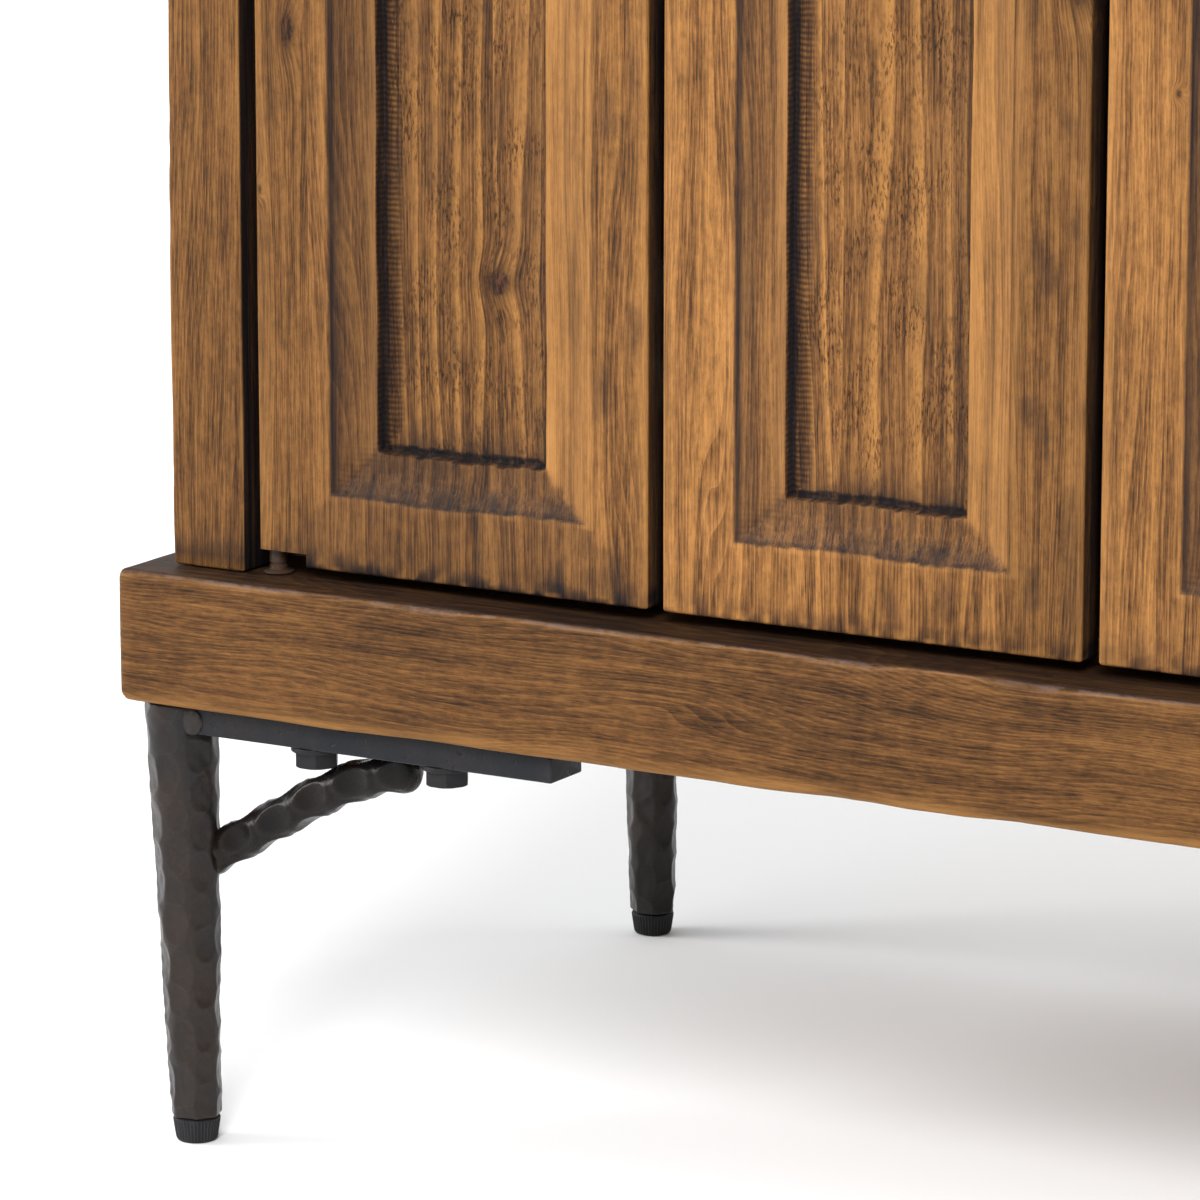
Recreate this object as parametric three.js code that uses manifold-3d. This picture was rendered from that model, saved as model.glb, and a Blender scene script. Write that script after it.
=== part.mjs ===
// Armoire with two bifold pairs of carved doors, standing on four forged iron legs.
// Millimetres, +Z up. The origin is on the floor under the middle of the cabinet, and the doors face -Y.
import * as THREE from 'three';
import { mergeVertices } from 'three/addons/utils/BufferGeometryUtils.js';
import Module from 'manifold-3d';

const wasm = await Module();
wasm.setup();

// Driving dimensions
const WIDTH = 1218; // over the plinth and the top board
const DEPTH = 600;
const HEIGHT = 2017;
const GAP = 0.3; // clearance between pieces that touch
const UNDERSIDE = 267; // floor to the underside of the plinth
const PLINTH_TALL = 79;
const RAIL_DEEP = 90; // plinth rails, seen from above
const TOP_THICK = 60;
const SIDE_OVERHANG = 23; // plinth past the cabinet at each side
const FRONT_OVERHANG = 24;
const BACK_OVERHANG = 10;
const POST = 50; // square corner posts
const PANEL_THICK = 18;
const PANEL_SETBACK = 8; // side panels behind the outer face of the posts
const BACK_THICK = 12;
const BOARD_THICK = 18; // floor and shelves
const HEADER_TALL = 90;

const LEAF_WIDE = 256;
const LEAF_THICK = 22;
const LEAF_SETBACK = 2; // leaf fronts behind the post fronts
const JAMB_GAP = 9;
const LEAF_GAP = 10;
const LEAF_CLEAR = 7; // above the plinth and below the header
const BORDER = 44; // flat margin round the carving
const SCOOP_WIDE = 30;
const SCOOP_TALL = 26;
const SCOOP_DEEP = 8;
const PANEL_SUNK = 12;

const PIVOT_IN = 6; // pivot and guide pins, from the edge of the leaf
const NOTCH_WIDE = 32;
const NOTCH_TALL = 8;
const PIN_R = 4;
const GUIDE_R = 5;
const TRACK_IN = 12;
const TRACK_WALL = 2;
const TRACK_TALL = 14;

const HINGE_TALL = 84;
const HINGE_PLATE = 2;
const HINGE_WIDE = 32;
const KNUCKLE_R = 5;
const HINGE_HEIGHTS = { lower: 0.1, middle: 0.5, upper: 0.9 }; // shares of the leaf's height

const LEG_IN_X = 26; // centre of a leg's top, from the ends of the plinth
const LEG_IN_Y = 27;
const LEG_TOP_R = 22;
const LEG_FOOT_R = 15;
const LEG_LEAN = 4; // the foot stands in under the cabinet by this much each way
const GLIDE_TALL = 15;
const GLIDE_TOP_R = 14;
const GLIDE_FOOT_R = 12.5;
const STEM_R = 4;
const STEM_LONG = 30;
const BAR_WIDE = 34;
const BAR_THICK = 12.5;
const BAR_LONG = 285; // end of the front arm, from the end of the plinth
const BAR_SIDE = 240; // end of the side arm, from the front of the plinth
const CAP_PLATE = 4;
const BOLT_AT = [120, 208];
const BOLT_HEAD_R = 13.5;
const BOLT_HEAD_TALL = 9;
const WASHER_R = 15;
const WASHER_TALL = 3;
const BRACE_R = 12.5;
const BRACE_BACK = 11; // its middle, behind the middle of the leg
// Points of the brace: in from the end of the plinth, and down from its underside
const BRACE_ROUTE = [[30, 107], [74, 82], [104, 62], [134, 45], [162, 34], [182, 31]];

const SHELF_LOW = 700;
const SHELF_HIGH = 1700;
const SHELF_FRONT = 80; // shelf edge behind the front of the plinth
const ROD_R = 12.5;
const ROD_HEIGHT = 1640;

const PULL_LONG = 150;
const PULL_R = 5;
const PULL_OUT = 19; // centre of the grip, in front of the leaf

// Levels and faces worked out from them
const LEFT = -WIDTH / 2;
const FRONT = -DEPTH / 2;
const BACK = DEPTH / 2;
const PLINTH_TOP = UNDERSIDE + PLINTH_TALL;
const TOP_UNDER = HEIGHT - TOP_THICK;
const CASE_LEFT = LEFT + SIDE_OVERHANG;
const CASE_FRONT = FRONT + FRONT_OVERHANG;
const CASE_BACK = BACK - BACK_OVERHANG;
const JAMB = CASE_LEFT + POST;
const PANEL_INSIDE = CASE_LEFT + PANEL_SETBACK + PANEL_THICK;
const BACK_PANEL = CASE_BACK - BACK_THICK - 6;
const HEADER_UNDER = TOP_UNDER - GAP - HEADER_TALL;
const LEAF_LOW = PLINTH_TOP + LEAF_CLEAR;
const LEAF_HIGH = HEADER_UNDER - LEAF_CLEAR;
const LEAF_FRONT = CASE_FRONT + LEAF_SETBACK;
const LEAF_BACK = LEAF_FRONT + LEAF_THICK;
const LEAF_MID = LEAF_FRONT + LEAF_THICK / 2;
const OUTER_LEAF = JAMB + JAMB_GAP;
const INNER_LEAF = OUTER_LEAF + LEAF_WIDE + LEAF_GAP;
const PIVOT_X = OUTER_LEAF + PIVOT_IN;
const GUIDE_X = INNER_LEAF + LEAF_WIDE - PIVOT_IN;
const KNUCKLE_X = INNER_LEAF - LEAF_GAP / 2;
const KNUCKLE_Y = LEAF_BACK + KNUCKLE_R;
const BAR_LOW = UNDERSIDE - GAP - CAP_PLATE - BAR_THICK;

const group = new THREE.Group();

const finish = (color, roughness, metalness) => ({ color, roughness, metalness });
const DOOR_WOOD = finish('#8f6236', 0.55, 0);
const FRAME_WOOD = finish('#8a5c31', 0.55, 0);
const PLINTH_WOOD = finish('#7d5430', 0.5, 0);
const INNER_WOOD = finish('#a07a4e', 0.7, 0);
const IRON = finish('#3c3733', 0.45, 0.8);
const BRACKET_STEEL = finish('#3e3f44', 0.5, 0.8);
const GLIDE_PLASTIC = finish('#151515', 0.6, 0);
const HARDWARE_STEEL = finish('#5a5650', 0.4, 0.9);

function add(name, geometry, look) {
  const mesh = new THREE.Mesh(geometry, new THREE.MeshStandardMaterial(look));
  mesh.name = name;
  group.add(mesh);
}

function box([x0, x1], [y0, y1], [z0, z1]) {
  const geometry = new THREE.BoxGeometry(x1 - x0, y1 - y0, z1 - z0);
  return geometry.translate((x0 + x1) / 2, (y0 + y1) / 2, (z0 + z1) / 2);
}

// An upright round bar between two heights, with radii at the foot and the top
function post(x, y, [z0, z1], footR, topR = footR, sides = 16) {
  const geometry = new THREE.CylinderGeometry(topR, footR, z1 - z0, sides);
  return geometry.rotateX(Math.PI / 2).translate(x, y, (z0 + z1) / 2);
}

function solid(geometry) {
  const bare = geometry.clone();
  bare.deleteAttribute('normal');
  bare.deleteAttribute('uv');
  const merged = mergeVertices(bare, 1e-4);
  const vertProperties = new Float32Array(merged.attributes.position.array);
  const triVerts = new Uint32Array(merged.index.array);
  return new wasm.Manifold(new wasm.Mesh({ numProp: 3, vertProperties, triVerts }));
}

function shell(body) {
  const { vertProperties, triVerts } = body.getMesh();
  const geometry = new THREE.BufferGeometry();
  geometry.setAttribute('position', new THREE.BufferAttribute(vertProperties, 3));
  geometry.setIndex(new THREE.BufferAttribute(triVerts, 1));
  return geometry;
}

function joined(...geometries) {
  return shell(geometries.map(solid).reduce((whole, next) => whole.add(next)));
}

function cut(geometry, ...tools) {
  return shell(tools.map(solid).reduce((whole, next) => whole.subtract(next), solid(geometry)));
}

// The same shape on the other side (right = -1) or at the back (rear = -1) of the cabinet
function mirrored(geometry, right, rear = 1) {
  const copy = geometry.clone().scale(right, rear, 1);
  if (right * rear < 0) {
    const index = copy.index.array;
    for (let i = 0; i < index.length; i += 3) {
      [index[i], index[i + 1]] = [index[i + 1], index[i]];
    }
  }
  return copy;
}

const SIDES = [['left', 1], ['right', -1]];
const ENDS = [['front', 1], ['back', -1]];

function addPair(name, geometry, look) {
  for (const [side, right] of SIDES) {
    add(`${name}_${side}`, mirrored(geometry, right), look);
  }
}

function addFour(name, geometry, look) {
  for (const [end, rear] of ENDS) {
    for (const [side, right] of SIDES) {
      add(`${name}_${end}_${side}`, mirrored(geometry, right, rear), look);
    }
  }
}

// Plinth: long rails at the front and back, short ones between them
function addPlinth() {
  const z = [UNDERSIDE, PLINTH_TOP];
  add('plinth_front', box([LEFT, -LEFT], [FRONT, FRONT + RAIL_DEEP], z), PLINTH_WOOD);
  add('plinth_back', box([LEFT, -LEFT], [BACK - RAIL_DEEP, BACK], z), PLINTH_WOOD);
  const between = [FRONT + RAIL_DEEP + GAP, BACK - RAIL_DEEP - GAP];
  addPair('plinth', box([LEFT, LEFT + RAIL_DEEP], between, z), PLINTH_WOOD);
}

function addCase() {
  const z = [PLINTH_TOP + GAP, TOP_UNDER - GAP];
  const x = [CASE_LEFT, JAMB];
  for (const [end, y] of [['front', CASE_FRONT], ['back', CASE_BACK - POST]]) {
    addPair(`post_${end}`, box(x, [y, y + POST], z), FRAME_WOOD);
  }
  const panelX = [CASE_LEFT + PANEL_SETBACK, PANEL_INSIDE];
  const panelY = [CASE_FRONT + POST + GAP, CASE_BACK - POST - GAP];
  addPair('side_panel', box(panelX, panelY, z), FRAME_WOOD);
  add('back_panel', box([JAMB + GAP, -JAMB - GAP], [BACK_PANEL, BACK_PANEL + BACK_THICK], z), INNER_WOOD);
  add('top_board', box([LEFT, -LEFT], [FRONT, BACK], [TOP_UNDER, HEIGHT]), PLINTH_WOOD);
}

// A board across the inside, notched round the back posts
function innerBoard(low) {
  const y = [FRONT + SHELF_FRONT, BACK_PANEL - GAP];
  const z = [low, low + BOARD_THICK];
  const x = [PANEL_INSIDE + GAP, -PANEL_INSIDE - GAP];
  const notchY = [CASE_BACK - POST - GAP, BACK];
  const notch = box([LEFT, JAMB + GAP], notchY, [low - 1, low + BOARD_THICK + 1]);
  return cut(box(x, y, z), notch, mirrored(notch, -1));
}

function addInside() {
  add('floor_board', innerBoard(PLINTH_TOP + GAP), INNER_WOOD);
  add('shelf_lower', innerBoard(SHELF_LOW), INNER_WOOD);
  add('shelf_upper', innerBoard(SHELF_HIGH), INNER_WOOD);
  const plate = 4;
  const rodEnd = PANEL_INSIDE + GAP + plate + 1;
  const rod = new THREE.CylinderGeometry(ROD_R, ROD_R, -2 * rodEnd, 16).rotateZ(Math.PI / 2);
  add('hanging_rod', rod.translate(0, 0, ROD_HEIGHT), HARDWARE_STEEL);
  const cup = [[0, 0], [22, 0], [22, plate], [17, plate], [17, 18], [13.2, 18], [13.2, plate], [0, plate]];
  const socket = new THREE.LatheGeometry(cup.map(([r, t]) => new THREE.Vector2(r, t)), 16);
  socket.rotateZ(-Math.PI / 2).translate(PANEL_INSIDE + GAP, 0, ROD_HEIGHT);
  addPair('rod_socket', socket, HARDWARE_STEEL);
}

// Header rail with a groove underneath, and the channel that sits in the groove
function addHeader() {
  const x = [JAMB + GAP, -JAMB - GAP];
  const half = TRACK_IN / 2 + TRACK_WALL;
  const rail = box(x, [CASE_FRONT, CASE_FRONT + POST], [HEADER_UNDER, TOP_UNDER - GAP]);
  const grooveY = [LEAF_MID - half - GAP, LEAF_MID + half + GAP];
  const groove = box([x[0] - 1, x[1] + 1], grooveY, [HEADER_UNDER - 1, HEADER_UNDER + TRACK_TALL + GAP]);
  add('header_rail', cut(rail, groove), FRAME_WOOD);
  const channelX = [x[0] + GAP, x[1] - GAP];
  const channelY = [LEAF_MID - half, LEAF_MID + half];
  const channel = box(channelX, channelY, [HEADER_UNDER, HEADER_UNDER + TRACK_TALL]);
  const hollowY = [LEAF_MID - TRACK_IN / 2, LEAF_MID + TRACK_IN / 2];
  const hollowZ = [HEADER_UNDER - 1, HEADER_UNDER + TRACK_TALL - TRACK_WALL];
  add('guide_track', cut(channel, box([x[0], x[1]], hollowY, hollowZ)), HARDWARE_STEEL);
}

// One leaf: rectangles from the back face to the sunk panel, each joined to the next
function leaf(x) {
  const inset = (side, end, y) => [x + side, x + LEAF_WIDE - side, LEAF_LOW + end, LEAF_HIGH - end, y];
  const panelSide = BORDER + SCOOP_WIDE;
  const panelEnd = BORDER + SCOOP_TALL;
  const rings = [
    inset(0, 0, LEAF_BACK),
    inset(0, 0, LEAF_FRONT),
    inset(BORDER, BORDER, LEAF_FRONT),
    inset(panelSide, panelEnd, LEAF_FRONT + SCOOP_DEEP),
    inset(panelSide, panelEnd, LEAF_FRONT + PANEL_SUNK),
  ];
  const position = rings.flatMap(([x0, x1, z0, z1, y]) => [x0, y, z0, x1, y, z0, x1, y, z1, x0, y, z1]);
  const index = [0, 2, 1, 0, 3, 2];
  for (let ring = 0; ring + 1 < rings.length; ring += 1) {
    for (let corner = 0; corner < 4; corner += 1) {
      const a = 4 * ring + corner;
      const b = 4 * ring + ((corner + 1) % 4);
      index.push(a, b, b + 4, a, b + 4, a + 4);
    }
  }
  const last = 4 * (rings.length - 1);
  index.push(last, last + 1, last + 2, last, last + 2, last + 3);
  const geometry = new THREE.BufferGeometry();
  geometry.setAttribute('position', new THREE.Float32BufferAttribute(position, 3));
  return geometry.setIndex(index);
}

// A flanged pin standing on the top end of a leaf, with its shaft in the track
function topPin(x) {
  const base = LEAF_HIGH + GAP;
  const flange = post(x, LEAF_MID, [base, base + 2], 8);
  const tip = HEADER_UNDER + TRACK_TALL - TRACK_WALL - 2;
  return joined(flange, post(x, LEAF_MID, [base, tip], GUIDE_R, GUIDE_R, 12));
}

// Half a butt hinge on the back faces; sign is -1 for the half on the outer leaf, which has two knuckles
function hingeHalf(middle, sign) {
  const low = middle - HINGE_TALL / 2;
  const third = HINGE_TALL / 3;
  const y = [LEAF_BACK + GAP, LEAF_BACK + GAP + HINGE_PLATE];
  const span = (a, b) => [KNUCKLE_X + Math.min(sign * a, sign * b), KNUCKLE_X + Math.max(sign * a, sign * b)];
  const parts = [box(span(KNUCKLE_R + 0.7, HINGE_WIDE), y, [low, low + HINGE_TALL])];
  for (const step of sign < 0 ? [0, 2] : [1]) {
    const z = [low + step * third + GAP / 2, low + (step + 1) * third - GAP / 2];
    parts.push(box(span(0, KNUCKLE_R + 2), y, z), post(KNUCKLE_X, KNUCKLE_Y, z, KNUCKLE_R, KNUCKLE_R, 12));
  }
  return joined(...parts);
}

// Upright iron grip on two stubs, near the meeting edge of the inner leaf
function pull() {
  const x = GUIDE_X - 16;
  const y = LEAF_FRONT - PULL_OUT;
  const middle = (LEAF_LOW + LEAF_HIGH) / 2;
  const parts = [post(x, y, [middle - PULL_LONG / 2, middle + PULL_LONG / 2], PULL_R, PULL_R, 12)];
  for (const end of [-1, 1]) {
    const stub = new THREE.CylinderGeometry(PULL_R - 1, PULL_R - 1, PULL_OUT - GAP, 12);
    parts.push(stub.translate(x, y + (PULL_OUT - GAP) / 2, middle + end * (PULL_LONG / 2 - 12)));
  }
  return joined(...parts);
}

function addDoors() {
  const notchTop = LEAF_LOW + NOTCH_TALL;
  const pinTop = notchTop + 20;
  const notchX = [OUTER_LEAF - 1, OUTER_LEAF + NOTCH_WIDE];
  const notch = box(notchX, [FRONT, LEAF_BACK + 1], [LEAF_LOW - 1, notchTop]);
  const socket = post(PIVOT_X, LEAF_MID, [LEAF_LOW, pinTop + 1], PIN_R + 0.4, PIN_R + 0.4, 12);
  addPair('door_outer', cut(leaf(OUTER_LEAF), notch, socket), DOOR_WOOD);
  addPair('door_inner', leaf(INNER_LEAF), DOOR_WOOD);
  const flange = post(PIVOT_X, LEAF_MID, [PLINTH_TOP + GAP, PLINTH_TOP + GAP + 2], 11);
  const barrel = post(PIVOT_X, LEAF_MID, [PLINTH_TOP + GAP, notchTop - GAP], 6.5);
  const pin = post(PIVOT_X, LEAF_MID, [PLINTH_TOP + 1, pinTop], PIN_R, PIN_R, 12);
  addPair('pivot_lower', joined(flange, barrel, pin), HARDWARE_STEEL);
  addPair('pivot_upper', topPin(PIVOT_X), HARDWARE_STEEL);
  addPair('guide_pin', topPin(GUIDE_X), HARDWARE_STEEL);
  for (const [place, share] of Object.entries(HINGE_HEIGHTS)) {
    const middle = LEAF_LOW + share * (LEAF_HIGH - LEAF_LOW);
    addPair(`hinge_${place}_outer`, hingeHalf(middle, -1), HARDWARE_STEEL);
    addPair(`hinge_${place}_inner`, hingeHalf(middle, 1), HARDWARE_STEEL);
  }
  addPair('pull', pull(), IRON);
}

// Tapered leg with a bore for the glide's stem; it leans in above the bored part
function leg() {
  const foot = GLIDE_TALL + GAP;
  const top = UNDERSIDE - CAP_PLATE - 3 * GAP;
  const boreTop = foot + STEM_LONG + 12;
  const boreR = STEM_R + 0.5;
  const profile = [[0, boreTop], [boreR, boreTop], [boreR, foot], [LEG_FOOT_R, foot]];
  const bands = 4;
  for (let band = 1; band <= bands; band += 1) {
    const share = band / bands;
    profile.push([LEG_FOOT_R + (LEG_TOP_R - LEG_FOOT_R) * share, foot + (top - foot) * share]);
  }
  profile.push([0, top]);
  const geometry = new THREE.LatheGeometry(profile.map(([r, z]) => new THREE.Vector2(r, z)), 16);
  geometry.rotateX(Math.PI / 2);
  const { position } = geometry.attributes;
  for (let i = 0; i < position.count; i += 1) {
    const lean = LEG_LEAN * Math.min(1, (top - position.getZ(i)) / (top - boreTop));
    position.setX(i, position.getX(i) + LEFT + LEG_IN_X + lean);
    position.setY(i, position.getY(i) + FRONT + LEG_IN_Y + lean);
  }
  return geometry;
}

function glide() {
  const x = LEFT + LEG_IN_X + LEG_LEAN;
  const y = FRONT + LEG_IN_Y + LEG_LEAN;
  const pad = post(x, y, [0, GLIDE_TALL], GLIDE_FOOT_R, GLIDE_TOP_R, 20);
  return joined(pad, post(x, y, [GLIDE_TALL - 1, GLIDE_TALL + GAP + STEM_LONG], STEM_R, STEM_R, 12));
}

// Bolted bracket: an L of two bars under a thin cap plate that also covers the leg, with its bolt heads
function bracket() {
  const capZ = [UNDERSIDE - GAP - CAP_PLATE, UNDERSIDE - GAP];
  const barZ = [BAR_LOW, capZ[0] + 1];
  const frontY = [FRONT + LEG_IN_Y + 2 - BAR_WIDE / 2, FRONT + LEG_IN_Y + 2 + BAR_WIDE / 2];
  const sideX = [LEFT + LEG_IN_X - BAR_WIDE / 2, LEFT + LEG_IN_X + BAR_WIDE / 2];
  const clear = LEG_TOP_R + 2;
  const parts = [
    box([LEFT + 10, LEFT + BAR_LONG], frontY, capZ),
    box(sideX, [frontY[0], FRONT + BAR_SIDE], capZ),
    box([LEFT + LEG_IN_X + clear, LEFT + BAR_LONG], frontY, barZ),
    box(sideX, [FRONT + LEG_IN_Y + clear, FRONT + BAR_SIDE], barZ),
  ];
  const heads = BOLT_AT.map((x) => [LEFT + x, FRONT + LEG_IN_Y - 1]);
  heads.push([LEFT + LEG_IN_X, FRONT + BAR_SIDE - 60]);
  for (const [x, y] of heads) {
    parts.push(post(x, y, [BAR_LOW - WASHER_TALL, BAR_LOW + 1], WASHER_R));
    parts.push(post(x, y, [BAR_LOW - WASHER_TALL - BOLT_HEAD_TALL, BAR_LOW], BOLT_HEAD_R, BOLT_HEAD_R, 6));
  }
  return joined(...parts);
}

// Round brace bowed up from the side of the leg to the underside of the bar
function brace(legShape, bracketShape) {
  const y = FRONT + LEG_IN_Y + BRACE_BACK;
  const points = BRACE_ROUTE.map(([x, down]) => new THREE.Vector3(LEFT + x, y, UNDERSIDE - down));
  const section = new THREE.Shape();
  const sides = 10;
  for (let i = 0; i < sides; i += 1) {
    const turn = (2 * Math.PI * i) / sides;
    section[i ? 'lineTo' : 'moveTo'](BRACE_R * Math.cos(turn), BRACE_R * Math.sin(turn));
  }
  const extrudePath = new THREE.CatmullRomCurve3(points);
  const bar = new THREE.ExtrudeGeometry(section, { steps: 12, bevelEnabled: false, extrudePath });
  const shifts = [[GAP, 0, 0], [0, GAP, 0], [0, 0, -GAP]];
  const grow = (geometry) => shifts.map((by) => geometry.clone().translate(...by));
  return cut(bar, ...grow(legShape), ...grow(bracketShape));
}

function addBase() {
  const legShape = leg();
  const bracketShape = bracket();
  addFour('leg', legShape, IRON);
  addFour('glide', glide(), GLIDE_PLASTIC);
  addFour('bracket', bracketShape, BRACKET_STEEL);
  addFour('brace', brace(legShape, bracketShape), IRON);
}

addPlinth();
addCase();
addInside();
addHeader();
addDoors();
addBase();

export default group;
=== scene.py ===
"""Armoire with two bifold pairs of carved doors, on hammered iron legs: its visible pieces and studio.

Lengths are metres. X runs across the front, the doors face -Y and Z is up.
"""
import math

import bmesh
import bpy
import numpy as np
from bpy.props import FloatProperty, FloatVectorProperty, PointerProperty
from bpy.types import Operator, Panel, PropertyGroup
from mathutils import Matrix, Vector


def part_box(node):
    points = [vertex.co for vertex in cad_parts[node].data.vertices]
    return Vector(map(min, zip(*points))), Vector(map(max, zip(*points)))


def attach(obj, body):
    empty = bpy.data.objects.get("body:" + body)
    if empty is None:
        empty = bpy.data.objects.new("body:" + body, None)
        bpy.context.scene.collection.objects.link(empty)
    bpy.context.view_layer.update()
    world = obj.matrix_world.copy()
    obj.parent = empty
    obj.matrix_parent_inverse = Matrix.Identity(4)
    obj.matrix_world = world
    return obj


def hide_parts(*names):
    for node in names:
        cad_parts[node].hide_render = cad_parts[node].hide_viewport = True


bl_info = {
    "name": "Carved Armoire",
    "version": (1, 0, 0),
    "blender": (4, 5, 0),
    "location": "3D View > Sidebar > Armoire",
    "description": "Makes a carved bifold armoire on hammered iron legs, piece by piece",
    "category": "Add Mesh",
}

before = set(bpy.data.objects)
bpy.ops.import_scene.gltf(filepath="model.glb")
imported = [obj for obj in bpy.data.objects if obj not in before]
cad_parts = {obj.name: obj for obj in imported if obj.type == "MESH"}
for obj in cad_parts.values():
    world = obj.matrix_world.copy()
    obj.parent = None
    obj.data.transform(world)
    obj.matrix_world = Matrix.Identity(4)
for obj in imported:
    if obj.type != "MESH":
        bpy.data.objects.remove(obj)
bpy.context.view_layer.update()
SIDES = ("left", "right")
CORNERS = tuple(f"{end}_{side}" for end in ("front", "back") for side in SIDES)
MM = 0.001


# ---------------------------------------------------------------- settings


class CarvingSettings(PropertyGroup):
    border: FloatProperty(
        name="Border", description="Flat margin round the carving", default=0.044, unit="LENGTH")
    scoop_width: FloatProperty(
        name="Scoop width", description="Width of the scoop along the stiles", default=0.0285, unit="LENGTH")
    scoop_height: FloatProperty(
        name="Scoop height", description="Height of the scoop at the ends", default=0.026, unit="LENGTH")
    scoop_depth: FloatProperty(
        name="Scoop depth", description="Depth of the scoop at its inner lip", default=0.0052, unit="LENGTH")
    panel_depth: FloatProperty(
        name="Panel depth", description="Depth of the sunk panel", default=0.0125, unit="LENGTH")
    wander: FloatProperty(
        name="Wander", description="How far the hand-cut edges stray", default=0.0011, unit="LENGTH")
    chatter: FloatProperty(
        name="Chatter", description="Depth of the gouge marks at the ends", default=0.0005, unit="LENGTH")


class WoodSettings(PropertyGroup):
    dark: FloatVectorProperty(
        name="Dark grain", description="Stained early wood", subtype="COLOR", default=(0.038, 0.0175, 0.0068))
    middle: FloatVectorProperty(
        name="Middle grain", description="Body colour", subtype="COLOR", default=(0.140, 0.0600, 0.0180))
    light: FloatVectorProperty(
        name="Light grain", description="Rubbed high spots", subtype="COLOR", default=(0.270, 0.1240, 0.0370))
    late: FloatVectorProperty(
        name="Late wood", description="Orange growth lines", subtype="COLOR", default=(0.340, 0.1560, 0.0430))
    # the stain colour is black stain and also painted shade in recesses and gaps
    stain_and_shade: FloatVectorProperty(
        name="Stain", description="Black in the recesses", subtype="COLOR", default=(0.010, 0.008, 0.009))
    ring_gap: FloatProperty(
        name="Ring gap", description="Spacing of the growth lines", default=0.015, unit="LENGTH")


class IronSettings(PropertyGroup):
    iron: FloatVectorProperty(
        name="Iron", description="Waxed hammered iron", subtype="COLOR", default=(0.0180, 0.0145, 0.0125))
    bar: FloatVectorProperty(
        name="Bar", description="Mill-scaled bracket bar", subtype="COLOR", default=(0.0135, 0.0142, 0.0165))
    facet_pitch: FloatProperty(
        name="Facet pitch", description="Spacing of the marks along a leg", default=0.023, unit="LENGTH")
    facet_depth: FloatProperty(
        name="Facet depth", description="How far the marks cut into a leg", default=0.0023, unit="LENGTH")
    dent_pitch: FloatProperty(
        name="Dent pitch", description="Spacing of the dents along a brace", default=0.0306, unit="LENGTH")
    dent_depth: FloatProperty(
        name="Dent depth", description="Depth of the dents in a brace", default=0.0026, unit="LENGTH")


class StudioSettings(PropertyGroup):
    floor: FloatVectorProperty(
        name="Floor", description="Floor colour", subtype="COLOR", default=(0.845, 0.860, 0.875))
    sky: FloatProperty(name="Sky", description="Strength of the even light", default=0.49)
    key: FloatProperty(name="Key", description="Strength of the broad light from the left", default=2.05)
    front: FloatProperty(name="Front", description="Strength of the light from the front", default=3.2)
    rim: FloatProperty(name="Rim", description="Power of the right rear light", default=18.0, unit="POWER")


# ---------------------------------------------------------------- surfaces


def stacked(*parts):
    """Arrays spread to one shape and joined along a new last axis."""
    return np.stack(np.broadcast_arrays(*parts), -1)


def full_turn(count):
    """Evenly spaced angles once round."""
    return np.linspace(0, 2 * np.pi, count, endpoint=False)


def round_rings(x, y, radius, turn, z):
    """Rings about an upright line: x + r cos(angle), y + r sin(angle), z."""
    return stacked(x + radius * np.cos(turn), y + radius * np.sin(turn), z)


def box_of(node):
    """The low and the high corner of a CAD node's box."""
    low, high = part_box(node)
    return np.array(low), np.array(high)


def middle_of(node):
    low, high = box_of(node)
    return (low + high) / 2


def ripple(points, wavelength, seed, waves=20):
    """Smooth noise from about -1 to 1: the mean of sine waves of random direction and phase, over a
    wavelength given for every axis of the points."""
    draw = np.random.default_rng(seed)
    where = np.asarray(points, float) / np.asarray(wavelength, float)
    heading = draw.normal(size=(waves, where.shape[-1]))
    heading /= np.linalg.norm(heading, axis=1, keepdims=True)
    heading *= 2 * np.pi * draw.uniform(0.6, 1.5, (waves, 1))
    phase = draw.uniform(0, 2 * np.pi, waves)
    return np.clip(np.sin(where @ heading.T + phase).mean(-1) * 3.0, -1, 1)


def smooth(low, high, value):
    """Zero below low, one above high, and 3t^2 - 2t^3 between them."""
    t = np.clip((value - low) / (high - low), 0, 1)
    return t * t * (3 - 2 * t)


def grid_quads(rows, columns):
    """Quads joining each closed row of points to the next row."""
    i, j = np.meshgrid(np.arange(rows - 1), np.arange(columns), indexing="ij")
    a = (i * columns + j).ravel()
    b = (i * columns + (j + 1) % columns).ravel()
    return np.stack([a, b, b + columns, a + columns], 1)


def closed_skin(rings):
    """A skin through rings of points, (rows, columns, 3), with a fan to the middle of each end ring."""
    rows, columns, _ = rings.shape
    points = np.vstack([rings.reshape(-1, 3), rings[0].mean(0), rings[-1].mean(0)])
    j = np.arange(columns)
    ahead = (j + 1) % columns
    hub = rows * columns
    first = np.stack([ahead, j, np.full(columns, hub)], 1)
    base = (rows - 1) * columns
    last = np.stack([base + j, base + ahead, np.full(columns, hub + 1)], 1)
    return points, grid_quads(rows, columns), np.vstack([first, last])


def signed_volume(points, quads, triangles):
    """Sum of the tetrahedra from the origin to each triangle: positive where the faces point out."""
    fans = np.vstack([quads[:, [0, 1, 2]], quads[:, [0, 2, 3]], triangles])
    a, b, c = (points[fans[:, i]] for i in range(3))
    return float(np.einsum("ij,ij->i", a, np.cross(b, c)).sum() / 6)


def with_hub_values(values):
    """Ring values, (rows, columns, parts), as a list for every point of the closed skin."""
    return np.vstack([values.reshape(-1, values.shape[-1]), values[0].mean(0), values[-1].mean(0)])


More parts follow.
